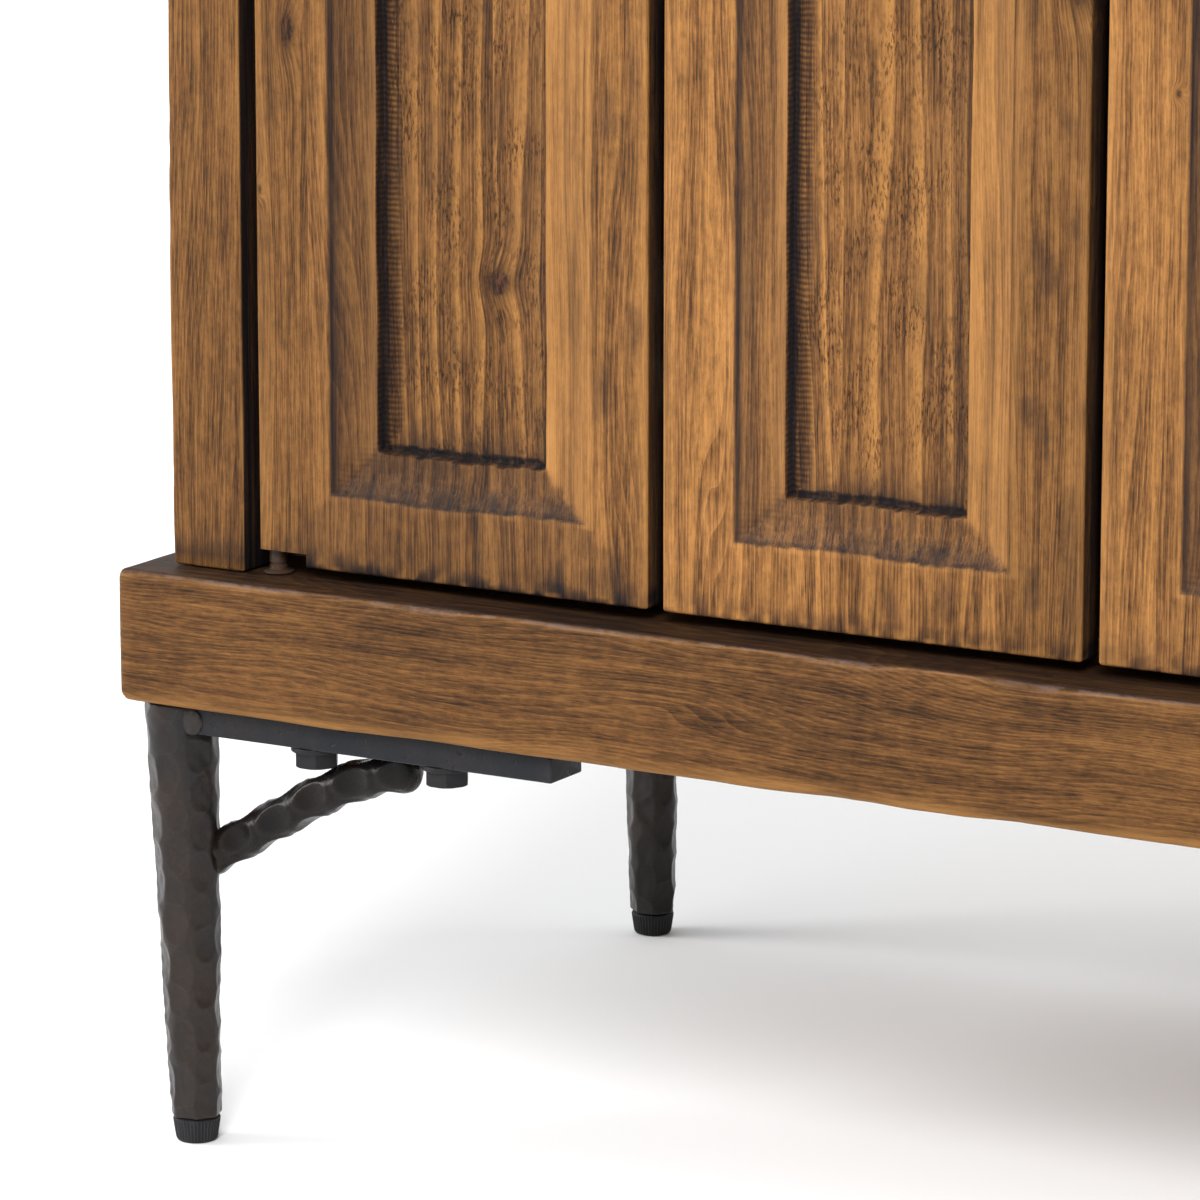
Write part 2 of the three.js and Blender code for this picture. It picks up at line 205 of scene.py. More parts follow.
def add_piece(name, rings, material, body, nodes=(), finish=None, sharp=35, weld=False, ribs=None):
    """Makes a closed skin an object of its own, on a body, standing for CAD nodes. finish holds stain, wear,
    roughness and tone for every ring point."""
    points, quads, triangles = closed_skin(rings)
    if signed_volume(points - points.mean(0), quads, triangles) < 0:
        quads, triangles = quads[:, ::-1], triangles[:, ::-1]
    mesh = bpy.data.meshes.new(name)
    corners = np.concatenate([quads.ravel(), triangles.ravel()]).astype(np.int32)
    starts = np.concatenate([
        np.arange(len(quads)) * 4,
        len(quads) * 4 + np.arange(len(triangles)) * 3,
    ]).astype(np.int32)
    mesh.vertices.add(len(points))
    mesh.vertices.foreach_set("co", points.astype(np.float32).ravel())
    mesh.loops.add(len(corners))
    mesh.loops.foreach_set("vertex_index", corners)
    mesh.polygons.add(len(starts))
    mesh.polygons.foreach_set("loop_start", starts)
    mesh.update(calc_edges=True)
    if finish is None:
        finish = np.zeros(rings.shape[:2] + (4,))
    layer = mesh.attributes.new("finish", "FLOAT_COLOR", "POINT")
    layer.data.foreach_set("color", with_hub_values(finish).astype(np.float32).ravel())
    if ribs is not None:
        tool = mesh.attributes.new("ribs", "FLOAT", "POINT")
        tool.data.foreach_set("value", with_hub_values(ribs[..., None]).astype(np.float32).ravel())
    if weld:
        weld_points(mesh)
    mesh.validate()
    mesh.shade_smooth()
    mesh.set_sharp_from_angle(angle=math.radians(sharp))
    mesh.materials.append(material)
    piece = bpy.data.objects.new(name, mesh)
    bpy.context.scene.collection.objects.link(piece)
    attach(piece, body)
    if nodes:
        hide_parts(*nodes)
    return piece


def weld_points(mesh):
    """Merges points that lie together and drops the faces that this leaves with no area."""
    work = bmesh.new()
    work.from_mesh(mesh)
    bmesh.ops.remove_doubles(work, verts=work.verts, dist=1e-5)
    bmesh.ops.dissolve_degenerate(work, dist=1e-6, edges=work.edges)
    work.to_mesh(mesh)
    work.free()


def end_stations(length, edge, step):
    """Stations along a bar of this length: close together on the rounded ends, even between them."""
    turn = np.linspace(0, np.pi / 2, 5)
    start = edge * (1 - np.cos(turn))
    count = max(2, int(round((length - 2 * edge) / step)))
    middle = np.linspace(edge, length - edge, count + 1)[1:-1]
    return np.concatenate([start, middle, (length - start)[::-1]])


def end_inset(station, length, edge):
    """How far a rounded end draws the section in: r - sqrt(r^2 - (r - d)^2) at a distance d from the end."""
    near = np.clip(edge - np.minimum(station, length - station), 0, edge)
    return edge - np.sqrt(np.maximum(edge ** 2 - near ** 2, 0))


def section_shares(flat_a, flat_b, arc=4):
    """A rounded rectangle as two arrays for every point: the share of the half sides that the corner centre
    stands at, and the direction of the rounding from there."""
    hold, lean = [], []
    for k, flat in enumerate((flat_b, flat_a, flat_b, flat_a)):
        turn = k * np.pi / 2
        normal = np.round([np.cos(turn), np.sin(turn)], 12)
        along = np.array([-normal[1], normal[0]])
        for share in np.linspace(-1, 1, flat + 2)[1:-1]:
            hold.append(normal + along * share)
            lean.append(normal)
        for step in np.linspace(0, 1, arc + 1):
            angle = turn + step * np.pi / 2
            hold.append(normal + along)
            lean.append([np.cos(angle), np.sin(angle)])
    return np.array(hold), np.array(lean)


def board(low, high, along, edge=1.8, wave=0.5, seed=1, step=0.012, flats=(8, 8), chips=0.0):
    """A hand-planed board: a rounded rectangle carried along one axis, drawn in at its rounded ends, and sunk
    below its box by smooth noise. Returns rings, the direction of each point's side, and the share of the way
    along. Edge, wave and chips are in millimetres."""
    low, high = np.array(low, float), np.array(high, float)
    axes = [axis for axis in range(3) if axis != along]
    length = high[along] - low[along]
    half = (high - low)[axes] / 2
    edge, wave, chips = edge * MM, wave * MM, chips * MM
    station = end_stations(length, min(edge, length / 4), step)
    hold, lean = section_shares(*flats)
    shape = (len(station), len(hold))
    inset = end_inset(station, length, min(edge, length / 4))[:, None]
    walk = stacked(station[:, None], hold @ [half[0], 0], hold @ [0, half[1]])
    sink = wave * (0.5 + 0.5 * ripple(walk, (0.22, 0.09, 0.09), seed))
    corner = np.abs(lean).min(1) * 1.414
    knock = smooth(0.35, 0.95, ripple(walk, (0.035, 0.03, 0.03), seed + 7))
    sink = sink + chips * knock * corner
    radius = edge * (1 + 0.5 * ripple(walk[..., :1], 0.12, seed + 3))
    rings = np.empty(shape + (3,))
    rings[..., along] = low[along] + station[:, None]
    for k, axis in enumerate(axes):
        reach = hold[:, k] * (half[k] - radius) + lean[:, k] * radius
        drawn = reach * (1 - inset / half[k]) - lean[:, k] * sink
        rings[..., axis] = (low[axis] + high[axis]) / 2 + drawn
    side = np.zeros(shape + (3,))
    for k, axis in enumerate(axes):
        side[..., axis] = lean[:, k]
    return rings, side, np.broadcast_to((station / length)[:, None], shape)


def lathe(profile, centre, segments=48, axis=2):
    """A profile of (radius, height) pairs turned round an axis through a centre."""
    radius, height = np.array(profile, float).T[..., None]
    rings = round_rings(0, 0, radius, full_turn(segments), height)
    return np.roll(rings, axis - 2, axis=-1) + np.array(centre, float)


def carried(route, radius, turn):
    """A round section carried along a route of points. The frame at each point is the tangent, its cross
    product with Y, and the cross product of those two. Radius is one value for every point and angle."""
    tangent = np.gradient(route, axis=0)
    tangent /= np.linalg.norm(tangent, axis=1, keepdims=True)
    across = np.cross(tangent, [0, 1, 0])
    across /= np.linalg.norm(across, axis=1, keepdims=True)
    third = np.cross(tangent, across)
    spoke = across[:, None] * np.cos(turn)[:, None] + third[:, None] * np.sin(turn)[:, None]
    return route[:, None] + spoke * np.asarray(radius)[..., None]


def rounded_ends(count, radius, length):
    """Distances along a bar and radius shares for it, with half-round ends of the bar's own radius."""
    turn = np.linspace(0.02, np.pi / 2, 7)
    start = radius * (1 - np.cos(turn))
    middle = np.linspace(radius, length - radius, count)[1:-1]
    distance = np.concatenate([start, middle, (length - start)[::-1]])
    share = np.concatenate([np.sin(turn), np.ones(count - 2), np.sin(turn)[::-1]])
    return distance, share


# ---------------------------------------------------------------- finishes


class Recipe:
    """Builds the node tree of one material. Each method adds a node and returns its output."""

    def __init__(self, name):
        self.material = bpy.data.materials.new(name)
        self.material.use_nodes = True
        self.tree = self.material.node_tree
        self.shader = self.tree.nodes["Principled BSDF"]

    def put(self, socket, value):
        if isinstance(value, bpy.types.NodeSocket):
            self.tree.links.new(value, socket)
        else:
            socket.default_value = value

    def node(self, kind, inputs=None, output=0, **settings):
        node = self.tree.nodes.new("ShaderNode" + kind)
        for key, value in settings.items():
            setattr(node, key, value)
        for key, value in (inputs or {}).items():
            self.put(node.inputs[key], value)
        return node.outputs[output]

    def calc(self, operation, a, b=0.0, clamp=False):
        return self.node("Math", {0: a, 1: b}, operation=operation, use_clamp=clamp)

    def times(self, a, b, clamp=False):
        return self.calc("MULTIPLY", a, b, clamp)

    def plus(self, a, b):
        return self.calc("ADD", a, b)

    def mix(self, share, a, b, blend="MIX"):
        return self.node("Mix", {0: share, 6: a, 7: b}, 2, data_type="RGBA", blend_type=blend)

    def stretch(self, value, low, high, to_low=0.0, to_high=1.0):
        return self.node("MapRange", {0: value, 1: low, 2: high, 3: to_low, 4: to_high}, clamp=True)

    def noise(self, place, scale, detail=3.0, roughness=0.55, offset=(0, 0, 0)):
        spread = self.node("Mapping", {"Vector": place, "Scale": scale, "Location": offset})
        return self.node(
            "TexNoise", {"Vector": spread, "Scale": 1.0, "Detail": detail, "Roughness": roughness})

    def finish(self):
        """The painted values: stain with painted shade, wear with painted highlights, roughness with a
        painted sheen, and the board's tone.
        """
        source = self.tree.nodes.new("ShaderNodeAttribute")
        source.attribute_name = "finish"
        parts = self.tree.nodes.new("ShaderNodeSeparateColor")
        self.tree.links.new(source.outputs["Color"], parts.inputs[0])
        return parts.outputs[0], parts.outputs[1], parts.outputs[2], source.outputs["Alpha"]

    def surface(self, colour, roughness, height, depth, strength=1.0, metallic=0.0, specular=0.5):
        self.put(self.shader.inputs["Base Color"], colour)
        self.put(self.shader.inputs["Roughness"], roughness)
        self.put(self.shader.inputs["Metallic"], metallic)
        self.put(self.shader.inputs["Specular IOR Level"], specular)
        bump = self.node("Bump", {"Strength": strength, "Distance": depth, "Height": height})
        self.put(self.shader.inputs["Normal"], bump)
        return self.material


def solid(colour):
    return (*colour, 1.0)


def knot_field(recipe, place, knots):
    """Distance from the nearest oval knot, in half sizes of it, and how far the grain bends round them."""
    nearest, bend = None, None
    for x, y, z, wide, tall in knots:
        offset = recipe.node("VectorMath", {0: place, 1: (x, y, z)}, operation="SUBTRACT")
        shrunk = recipe.node("VectorMath", {0: offset, 1: (1 / wide, 0.0, 1 / tall)}, operation="MULTIPLY")
        far = recipe.node("VectorMath", {0: shrunk}, "Value", operation="LENGTH")
        sweep = recipe.calc("EXPONENT", recipe.times(recipe.times(far, far), -0.16))
        nearest = far if nearest is None else recipe.calc("MINIMUM", nearest, far)
        bend = sweep if bend is None else recipe.plus(bend, sweep)
    return nearest, bend


def wood(name, along, seed, knots=(), ring_share=1.0, bright=1.0, reach=1.0, painted_sheen=0.0, fibres=0.95):
    """Stained softwood: growth lines that wander, streaks, fibres and blotches along the grain, knots that
    bend it, tool ribs, black stain with painted shade and rubbed wear with painted highlights where the
    finish values say. Reach shortens the streaks, fibres is how strongly the fine fibre shows, and
    painted_sheen is the strength of a pale painted reflection laid on where the rough_and_sheen value says."""
    look = bpy.context.scene.armoire_wood
    r = Recipe(name)
    here = r.node("TexCoord", output="Object")
    stain_and_shade, wear_and_highlight, rough_and_sheen, tone = r.finish()
    parts = r.tree.nodes.new("ShaderNodeSeparateXYZ")
    r.tree.links.new(here, parts.inputs[0])
    x, y, z = parts.outputs
    across, deep, length = {0: (z, y, x), 2: (x, y, z), 1: (x, z, y)}[along]
    across = r.plus(across, r.times(tone, 3.7))
    shift = (seed * 1.31, seed * 0.77, seed * 2.13)
    if knots:
        nearest, bend = knot_field(r, here, knots)
        across = r.plus(across, r.times(bend, 0.0065))
    place = r.node("CombineXYZ", {0: across, 1: deep, 2: length})

    drift = r.noise(place, (10, 10, 1.3 * reach), 2.0, 0.5, shift)
    wobble = r.noise(place, (60, 60, 22 * reach), 1.0, 0.5, shift)
    rings = r.plus(across, r.times(drift, 0.11))
    rings = r.plus(rings, r.times(wobble, 0.0022))
    turn = r.calc("FRACT", r.calc("DIVIDE", rings, look.ring_gap))
    late = r.times(r.stretch(turn, 0.55, 0.93), r.stretch(turn, 0.94, 1.0, 1.0, 0.0))
    fine = r.calc("POWER", r.calc("FRACT", r.calc("DIVIDE", rings, look.ring_gap / 6.3)), 2.0)
    fibre = r.noise(place, (1100, 1100, 42 * reach), 2.0, 0.6, shift)
    streak = r.noise(place, (230, 230, 5 * reach), 3.0, 0.62, shift)
    blotch = r.noise(place, (20, 20, 8), 4.0, 0.62, shift)
    mottle = r.noise(place, (170, 170, 110), 3.0, 0.7, shift)
    grit = r.noise(place, (900, 900, 210), 2.0, 0.6, shift)
    patchy = r.noise(place, (45, 45, 26), 2.0, 0.5, shift)

    level = r.times(streak, 0.75)
    for part, share in ((blotch, 0.55), (fibre, fibres), (mottle, 0.42), (fine, 0.22)):
        level = r.plus(level, r.times(part, share))
    level = r.calc("SUBTRACT", level, 0.42 + 0.5 * fibres - 0.2 * (bright - 1.0))
    body = r.mix(r.stretch(level, 0.20, 0.52), solid(look.dark), solid(look.middle))
    body = r.mix(r.stretch(level, 0.50, 0.88), body, solid(look.light))
    strong = r.plus(r.times(rough_and_sheen, 0.42), 0.40)
    late = r.times(late, strong)
    broken = r.stretch(mottle, 0.3, 0.6, 0.6 * ring_share, 1.15 * ring_share)
    body = r.mix(r.times(late, broken, clamp=True), body, solid(look.late))
    coarse = r.times(rough_and_sheen, r.stretch(patchy, 0.42, 0.60))
    pores = r.times(r.stretch(grit, 0.50, 0.66), r.plus(r.times(coarse, 0.75), 0.25))
    body = r.mix(pores, body, r.mix(1.0, body, (0.30, 0.26, 0.25, 1), "MULTIPLY"))
    if knots:
        halo = r.stretch(nearest, 1.0, 2.2, 0.60, 0.0)
        body = r.mix(halo, body, solid(look.dark))
        torn = r.plus(nearest, r.times(r.noise(here, (420, 420, 420)), 1.1))
        heart = r.stretch(torn, 1.40, 1.75, 0.93, 0.0)
        core = r.mix(r.stretch(grit, 0.4, 0.6), (0.010, 0.006, 0.005, 1), (0.075, 0.030, 0.013, 1))
        body = r.mix(heart, body, core)
    # painted sheen: a pale lavender-grey painted reflection, laid on where the rough_and_sheen value says
    if painted_sheen:
        sheen_amount = r.times(rough_and_sheen, r.stretch(mottle, 0.38, 0.62, 0.0, painted_sheen))
        body = r.mix(sheen_amount, body, (0.22, 0.19, 0.21, 1))
    # orange where the wear_and_highlight value says: rubbed wear and painted highlights
    rubbed_and_highlit = r.times(wear_and_highlight, r.stretch(streak, 0.30, 0.62, 0.45, 1.0))
    body = r.mix(rubbed_and_highlit, body, (0.375, 0.178, 0.054, 1))
    tool = r.node("Attribute", output="Fac", attribute_name="ribs")
    tread = r.plus(r.times(z, 1900.0), r.times(patchy, 9.0))
    ribs = r.times(tool, r.plus(r.times(r.calc("SINE", tread), 0.5), 0.5))
    shaded = r.plus(r.times(ribs, 0.50), r.times(tool, 0.28))
    body = r.mix(shaded, body, (0.020, 0.0080, 0.0040, 1))
    # black stain and painted shade where the stain_and_shade value says
    soak_and_shade = r.times(stain_and_shade, r.stretch(streak, 0.25, 0.75, 1.15, 0.80), clamp=True)
    body = r.mix(soak_and_shade, body, solid(look.stain_and_shade))
    level = r.times(r.plus(r.times(tone, 0.60), 0.76), bright)
    body = r.mix(1.0, body, r.node("CombineColor", {0: level, 1: level, 2: level}), "MULTIPLY")

    height = r.plus(r.times(streak, 0.7), r.times(fibre, 0.55))
    for part, share in ((mottle, 0.45), (late, 0.30), (pores, -0.55), (ribs, -0.5)):
        height = r.plus(height, r.times(part, share))
    shine = r.plus(r.times(streak, 0.25), 0.38)
    shine = r.plus(shine, r.times(rough_and_sheen, 0.12))
    return r.surface(body, shine, height, 0.0008, 0.85, specular=0.10)


def iron(name, colour, seed, pits=0.0, grain=420.0, specular=0.24, least_rough=0.18):
    """Dark waxed iron: brown and blue-grey patches, fine scale, scratches, ridges rubbed brighter, with a
    painted highlight on the rims of the brace dents, where the wear_and_highlight value says, and small pits.
    Least_rough is the roughness of its smoothest spots."""
    r = Recipe(name)
    here = r.node("TexCoord", output="Object")
    stain_and_shade, wear_and_highlight, _, _ = r.finish()
    shift = (seed * 0.9, seed * 1.7, seed * 0.3)
    cloud = r.noise(here, (34, 34, 22), 4.0, 0.62, shift)
    scale = r.noise(here, (grain, grain, grain), 3.0, 0.7, shift)
    scratch = r.noise(here, (900, 900, 60), 2.0, 0.6, shift)
    warm = solid([c * k for c, k in zip(colour, (1.40, 1.16, 1.02))])
    cool = solid([c * k for c, k in zip(colour, (0.75, 0.84, 0.98))])
    body = r.mix(r.stretch(cloud, 0.35, 0.65), warm, cool)
    body = r.mix(r.stretch(scale, 0.35, 0.75, 0.0, 0.5), body, solid([c * 0.4 for c in colour]))
    bright = solid([min(1.0, c * 3.0 + 0.012) for c in colour])
    body = r.mix(r.times(wear_and_highlight, r.stretch(scratch, 0.3, 0.7, 0.35, 0.9)), body, bright)
    body = r.mix(stain_and_shade, body, solid([c * 0.3 for c in colour]))
    height = r.plus(r.times(scale, 0.7), r.times(cloud, 0.8))
    if pits:
        hole = r.stretch(r.noise(here, (210, 210, 210), 1.0, 0.4, shift), 0.66, 0.76, 0.0, pits)
        height = r.calc("SUBTRACT", height, r.times(hole, 2.0))
        body = r.mix(hole, body, solid([c * 0.35 for c in colour]))
    shine = r.plus(r.times(cloud, 0.22), r.times(scale, 0.20))
    shine = r.plus(shine, least_rough)
    return r.surface(body, shine, height, 0.0004, 0.6, specular=specular)


def plastic(name):
    """Black moulded plastic with a fine sandy skin and scuffs."""
    r = Recipe(name)
    here = r.node("TexCoord", output="Object")
    _, wear_and_highlight, _, _ = r.finish()
    sand = r.noise(here, (1600, 1600, 1600), 2.0, 0.6)
    scuff = r.noise(here, (120, 120, 30), 3.0, 0.65)
    body = r.mix(r.stretch(scuff, 0.45, 0.75, 0.0, 0.6), (0.010, 0.010, 0.011, 1), (0.030, 0.030, 0.032, 1))
    body = r.mix(wear_and_highlight, body, (0.06, 0.06, 0.06, 1))
    return r.surface(body, r.stretch(scuff, 0.3, 0.7, 0.42, 0.62), sand, 0.0002, 0.5, specular=0.16)


def steel(name):
    """Dull plated steel with drawn lines and darker patches."""
    r = Recipe(name)
    here = r.node("TexCoord", output="Object")
    lines = r.noise(here, (1400, 1400, 40), 2.0, 0.6)
    cloud = r.noise(here, (60, 60, 60), 3.0, 0.6)
    body = r.mix(r.stretch(cloud, 0.35, 0.7), (0.30, 0.27, 0.24, 1), (0.15, 0.135, 0.12, 1))
    return r.surface(body, r.stretch(lines, 0.3, 0.7, 0.3, 0.5), lines, 0.0002, 0.4, metallic=0.9)


def material(name, make, *args, **settings):
    """The material of this name, made on its first use."""
    return bpy.data.materials.get(name) or make(name, *args, **settings)


def refinish(node, look):
    """Gives a CAD node this material in place of its own."""
    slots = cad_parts[node].data.materials
    slots.clear()
    slots.append(look)


def finish_values(shape, stain_and_shade=0.0, wear_and_highlight=0.0, rough_and_sheen=0.0, tone=0.0):
    """The four painted values for every point of the rings."""
    return stacked(*(part * np.ones(shape) for part in (stain_and_shade, wear_and_highlight, rough_and_sheen, tone)))


# ---------------------------------------------------------------- wooden pieces


END_GRAIN = (0.42, 0.05, 0.0)  # stain, wear and roughness of a cut end
# the plinth oak carries a painted sheen, a pale painted reflection, on its upper front edge
OAK = {"ring_share": 0.25, "bright": 0.84, "reach": 1.7, "painted_sheen": 0.9, "fibres": 0.70}


def make_board(name, low, high, along, look, slot="frame_wood", nodes=(), seed=1, tone=0.0, top_stain=0.0,
               wear_and_highlight=0.25, foot_stain=0.0, shaded_side=None, sheen_amount=0.0, low_glow=0.0, **shape):
    """One board with its finish: stain on the upper side and at the foot, painted shade on the side that
    shaded_side points to, wear on the long edges, a painted sheen (a pale painted reflection) on the upper
    front edge, and a rubbed band along the lower edge."""
    rings, side, share = board(low, high, along, seed=seed, **shape)
    edge = np.abs(side).copy()
    edge[..., along] = 0
    arris = smooth(0.3, 0.7, np.sort(edge, axis=-1)[..., 1] * 1.414)
    under = smooth(-0.2, -0.75, side[..., 2]) if along != 2 else 0.0
    patch = 0.5 + 0.5 * ripple(rings, 0.06, seed + 11)
    nip = 0.5 + 0.5 * ripple(rings, 0.012, seed + 12)
    stain_and_shade = top_stain * smooth(0.55, 0.9, side[..., 2]) * (0.8 + 0.2 * patch)
    length = high[along] - low[along]
    near_foot = share * length
    soaked = np.exp(-(near_foot / (0.007 + 0.012 * nip)) ** 2) * smooth(0.0015, 0.004, near_foot)
    stain_and_shade = stain_and_shade + foot_stain * soaked
    # painted shade: the face that shaded_side points to is darkened nearly to black, as a gap in shadow
    if shaded_side is not None:
        stain_and_shade = stain_and_shade + 0.93 * smooth(0.75, 1.0, side @ np.array(shaded_side, float))
    ends = np.exp(-np.minimum(share, 1 - share) * length / 0.003)
    rub = np.clip(wear_and_highlight * arris * (0.5 + patch) + 0.6 * wear_and_highlight * ends + 0.5 * wear_and_highlight * arris * under, 0, 1)
    rub = rub * (1 - smooth(0.4, 0.9, side[..., 2]) * (top_stain > 0))
    rub = np.maximum(rub, low_glow * np.exp(-((rings[..., 2] - low[2]) / (0.004 + 0.003 * patch)) ** 2))
    # painted sheen: a pale painted reflection on the upper front edge, written into the roughness channel
    painted_sheen = sheen_amount * smooth(0.25, 0.6, side[..., 2]) * smooth(0.3, 0.6, -side[..., 1]) * (0.3 + 0.7 * patch)
    rub = rub * (1 - painted_sheen)
    finish = finish_values(rings.shape[:2], np.clip(stain_and_shade, 0, 1), rub, painted_sheen, tone)
    finish[[0, -1], :, :3] = END_GRAIN
    return add_piece(name, rings, look, "cabinet", nodes, finish)


def make_plinth():
    """Four rails, each a hand-planed board with a rubbed lower edge."""
    look = material("plinth_oak", wood, 0, 3, **OAK)
    side_look = material("plinth_side", wood, 1, 5, **OAK)
    for k, end in enumerate(("front", "back")):
        low, high = box_of(f"plinth_{end}")
        # the front and back rails get a painted sheen, a pale painted reflection, on their upper front edge
        make_board(f"plinth_rail_{end}", low, high, 0, look, "plinth_wood", (f"plinth_{end}",), seed=21 + k,
                   tone=0.1 + 0.2 * k, top_stain=0.82, wear_and_highlight=0.75, sheen_amount=0.9, low_glow=0.95, edge=4.0, wave=1.0,
                   step=0.005, flats=(30, 10), chips=1.4)
    for k, side in enumerate(SIDES):
        low, high = box_of(f"plinth_{side}")
        make_board(f"plinth_rail_{side}", low, high, 1, side_look, "plinth_wood", (f"plinth_{side}",),
                   seed=31 + k, tone=0.3 + 0.2 * k, top_stain=0.82, wear_and_highlight=0.6, edge=3.4, wave=0.9,
                   flats=(10, 10))


def make_top():
    """One thick hand-planed board."""
    look = material("plinth_oak", wood, 0, 3, **OAK)
    low, high = box_of("top_board")
    make_board("top_slab", low, high, 0, look, slot="plinth_wood", nodes=("top_board",), seed=41, tone=0.55,
               top_stain=0.35, wear_and_highlight=0.6, edge=3.5, wave=1.0, flats=(24, 8), chips=0.8)


def make_posts():
    """Four upright boards. The front ones have painted shade, near black, on the side towards the doors,
    where the gap beside them lies in shadow.
    """
    look = material("frame_pine", wood, 2, 8, ring_share=0.6, bright=0.95)
    for k, corner in enumerate(CORNERS):
        low, high = box_of(f"post_{corner}")
        # painted shade on the front posts' faces towards the doors
        shaded_jamb = (1 if corner.endswith("left") else -1, 0, 0) if corner.startswith("front") else None
        make_board(f"corner_post_{corner}", low, high, 2, look, nodes=(f"post_{corner}",), seed=51 + k,
                   tone=0.13 * (k + 1), wear_and_highlight=0.55, foot_stain=0.95, shaded_side=shaded_jamb, edge=2.4, wave=1.3,
                   step=0.006, flats=(8, 8), chips=0.9)


def planks(prefix, node, across, count, look, slot, seed):
    """A panel as upright planks side by side, each with its own tone, with a small gap between them."""
    low, high = box_of(node)
    cuts = np.linspace(low[across], high[across], count + 1)
    for k in range(count):
        foot, head = low.copy(), high.copy()
        foot[across] = cuts[k] + (0.0004 if k else 0)
        head[across] = cuts[k + 1]
        flats = (10, 3) if across == 0 else (3, 10)
        make_board(f"{prefix}_{k + 1}", foot, head, 2, look, slot, (node,) if k == 0 else (), seed=seed + k,
                   tone=0.17 * (k + 1) + seed * 0.01, wear_and_highlight=0.35, foot_stain=0.7, edge=2.0, wave=0.8,
                   step=0.02, flats=flats)


def make_panels():
    """Each side is four upright planks, and the back is eight."""
    look = material("frame_pine", wood, 2, 8, ring_share=0.6, bright=0.95)
    inner = material("inner_pine", wood, 2, 12, ring_share=0.5, bright=1.15)
    for k, side in enumerate(SIDES):
        planks(f"side_plank_{side}", f"side_panel_{side}", 1, 4, look, "frame_wood", 61 + 10 * k)
    planks("back_plank", "back_panel", 0, 8, inner, "inner_wood", 81)


def make_interior():
    """New finishes for the shelves and the floor board, and a rod with eased ends."""
    inner = material("inner_board", wood, 0, 14, ring_share=0.5, bright=1.15)
    for node in ("floor_board", "shelf_lower", "shelf_upper"):
        refinish(node, inner)
    bright = material("plated_steel", steel)
    low, high = box_of("hanging_rod")
    radius = (high[2] - low[2]) / 2
    distance, share = rounded_ends(30, 0.002, high[0] - low[0])
    profile = np.stack([radius - 0.002 + 0.002 * share, low[0] + distance], 1)
    rod = lathe(profile, (0, *middle_of("hanging_rod")[1:]), 64, axis=0)
    add_piece("hanging_rail", rod, bright, "cabinet", ("hanging_rod",))
    for side in SIDES:
        refinish(f"rod_socket_{side}", bright)


def make_header():
    """The header is a rectangle with a groove underneath, carried along X. The closing fans of its ends would
    cross the groove, so the ends are drawn in to the solid part above it first."""
    look = material("header_pine", wood, 0, 9, ring_share=0.6, bright=0.95)
    low, high = box_of("header_rail")
    track_low, track_high = box_of("guide_track")
    gap = 0.0003
    y0, y1, g0, g1 = low[1], high[1], track_low[1] - gap, track_high[1] + gap
    z0, z1, gz = low[2], high[2], track_high[2] + gap
    r = 0.002
    outline = np.array([
        (y0, z0 + r), (y0 + r * 0.3, z0 + r * 0.3), (y0 + r, z0), (g0, z0), (g0, gz), (g1, gz), (g1, z0),
        (y1 - r, z0), (y1 - r * 0.3, z0 + r * 0.3), (y1, z0 + r), (y1, z1), (y0, z1)])
    station = end_stations(high[0] - low[0], 0.0015, 0.02)
    solid_part = np.stack([outline[:, 0], np.maximum(outline[:, 1], gz + 0.004)], 1)
    sections = np.stack([solid_part, *[outline] * len(station), solid_part])
    along = np.concatenate([station[:1], station, station[-1:]])
    rings = stacked((low[0] + along)[:, None], sections[..., 0], sections[..., 1])
    rub = 0.4 * (np.abs(outline[:, 1] - z0) < r) * np.ones(rings.shape[:2])
    add_piece("header_beam", rings, look, "cabinet", ("header_rail",),
              finish_values(rings.shape[:2], 0.0, rub, 0.0, 0.4))
    refinish("guide_track", material("plated_steel", steel))


# ---------------------------------------------------------------- carved doors


ARRIS = 0.0016  # rounding of a leaf's long edges
END_ARRIS = 0.0018


def leaf_columns(width, cut, offset, joints):
    """Places across a leaf: close on the rounded edges, the scoops and the steps, even on the panel, and a
    pair of columns at each glue line. The carving stands off the middle by the offset."""
    turn = np.linspace(0, np.pi / 2, 5)
    edge = ARRIS * (1 - np.cos(turn))
    flat = np.linspace(0.004, cut.border - 0.003, 9)
    scoop = cut.border + cut.scoop_width * np.linspace(-0.08, 0.98, 20)
    lip = cut.border + cut.scoop_width + MM * np.array([0, 0.5, 1.0, 1.5, 2.2, 3.2, 4.5])
    carving = np.concatenate([flat[1:], scoop, lip])
    left, right = carving + offset, width - carving + offset
    panel = np.linspace(left[-1], right[-1], 66)[1:-1]
    glue = np.concatenate([[j - 0.0002, j + 0.0002] for j in joints])
    return np.unique(np.round(np.concatenate([edge, left, panel, right, width - edge, glue]), 6))


def leaf_stations(tall, cut, notch):
    """Places up a leaf: close through the scoops at both ends, and twice at the top of the pivot notch."""
    turn = np.linspace(0, np.pi / 2, 5)
    edge = END_ARRIS * (1 - np.cos(turn))
    flat = np.linspace(0.004, cut.border - 0.004, 12)
    scoop = np.linspace(cut.border - 0.003, cut.border + cut.scoop_height + 0.006, 34)
    half = np.concatenate([edge, flat, scoop])
    middle = np.arange(half[-1] + 0.004, tall - half[-1] - 0.002, 0.0045)
    station = np.unique(np.round(np.concatenate([half, middle, tall - half]), 6))
    if notch:
        clear = station[np.abs(station - notch) > 1e-4]
        station = np.sort(np.concatenate([clear, [notch - 1e-6, notch + 1e-6]]))
    return station


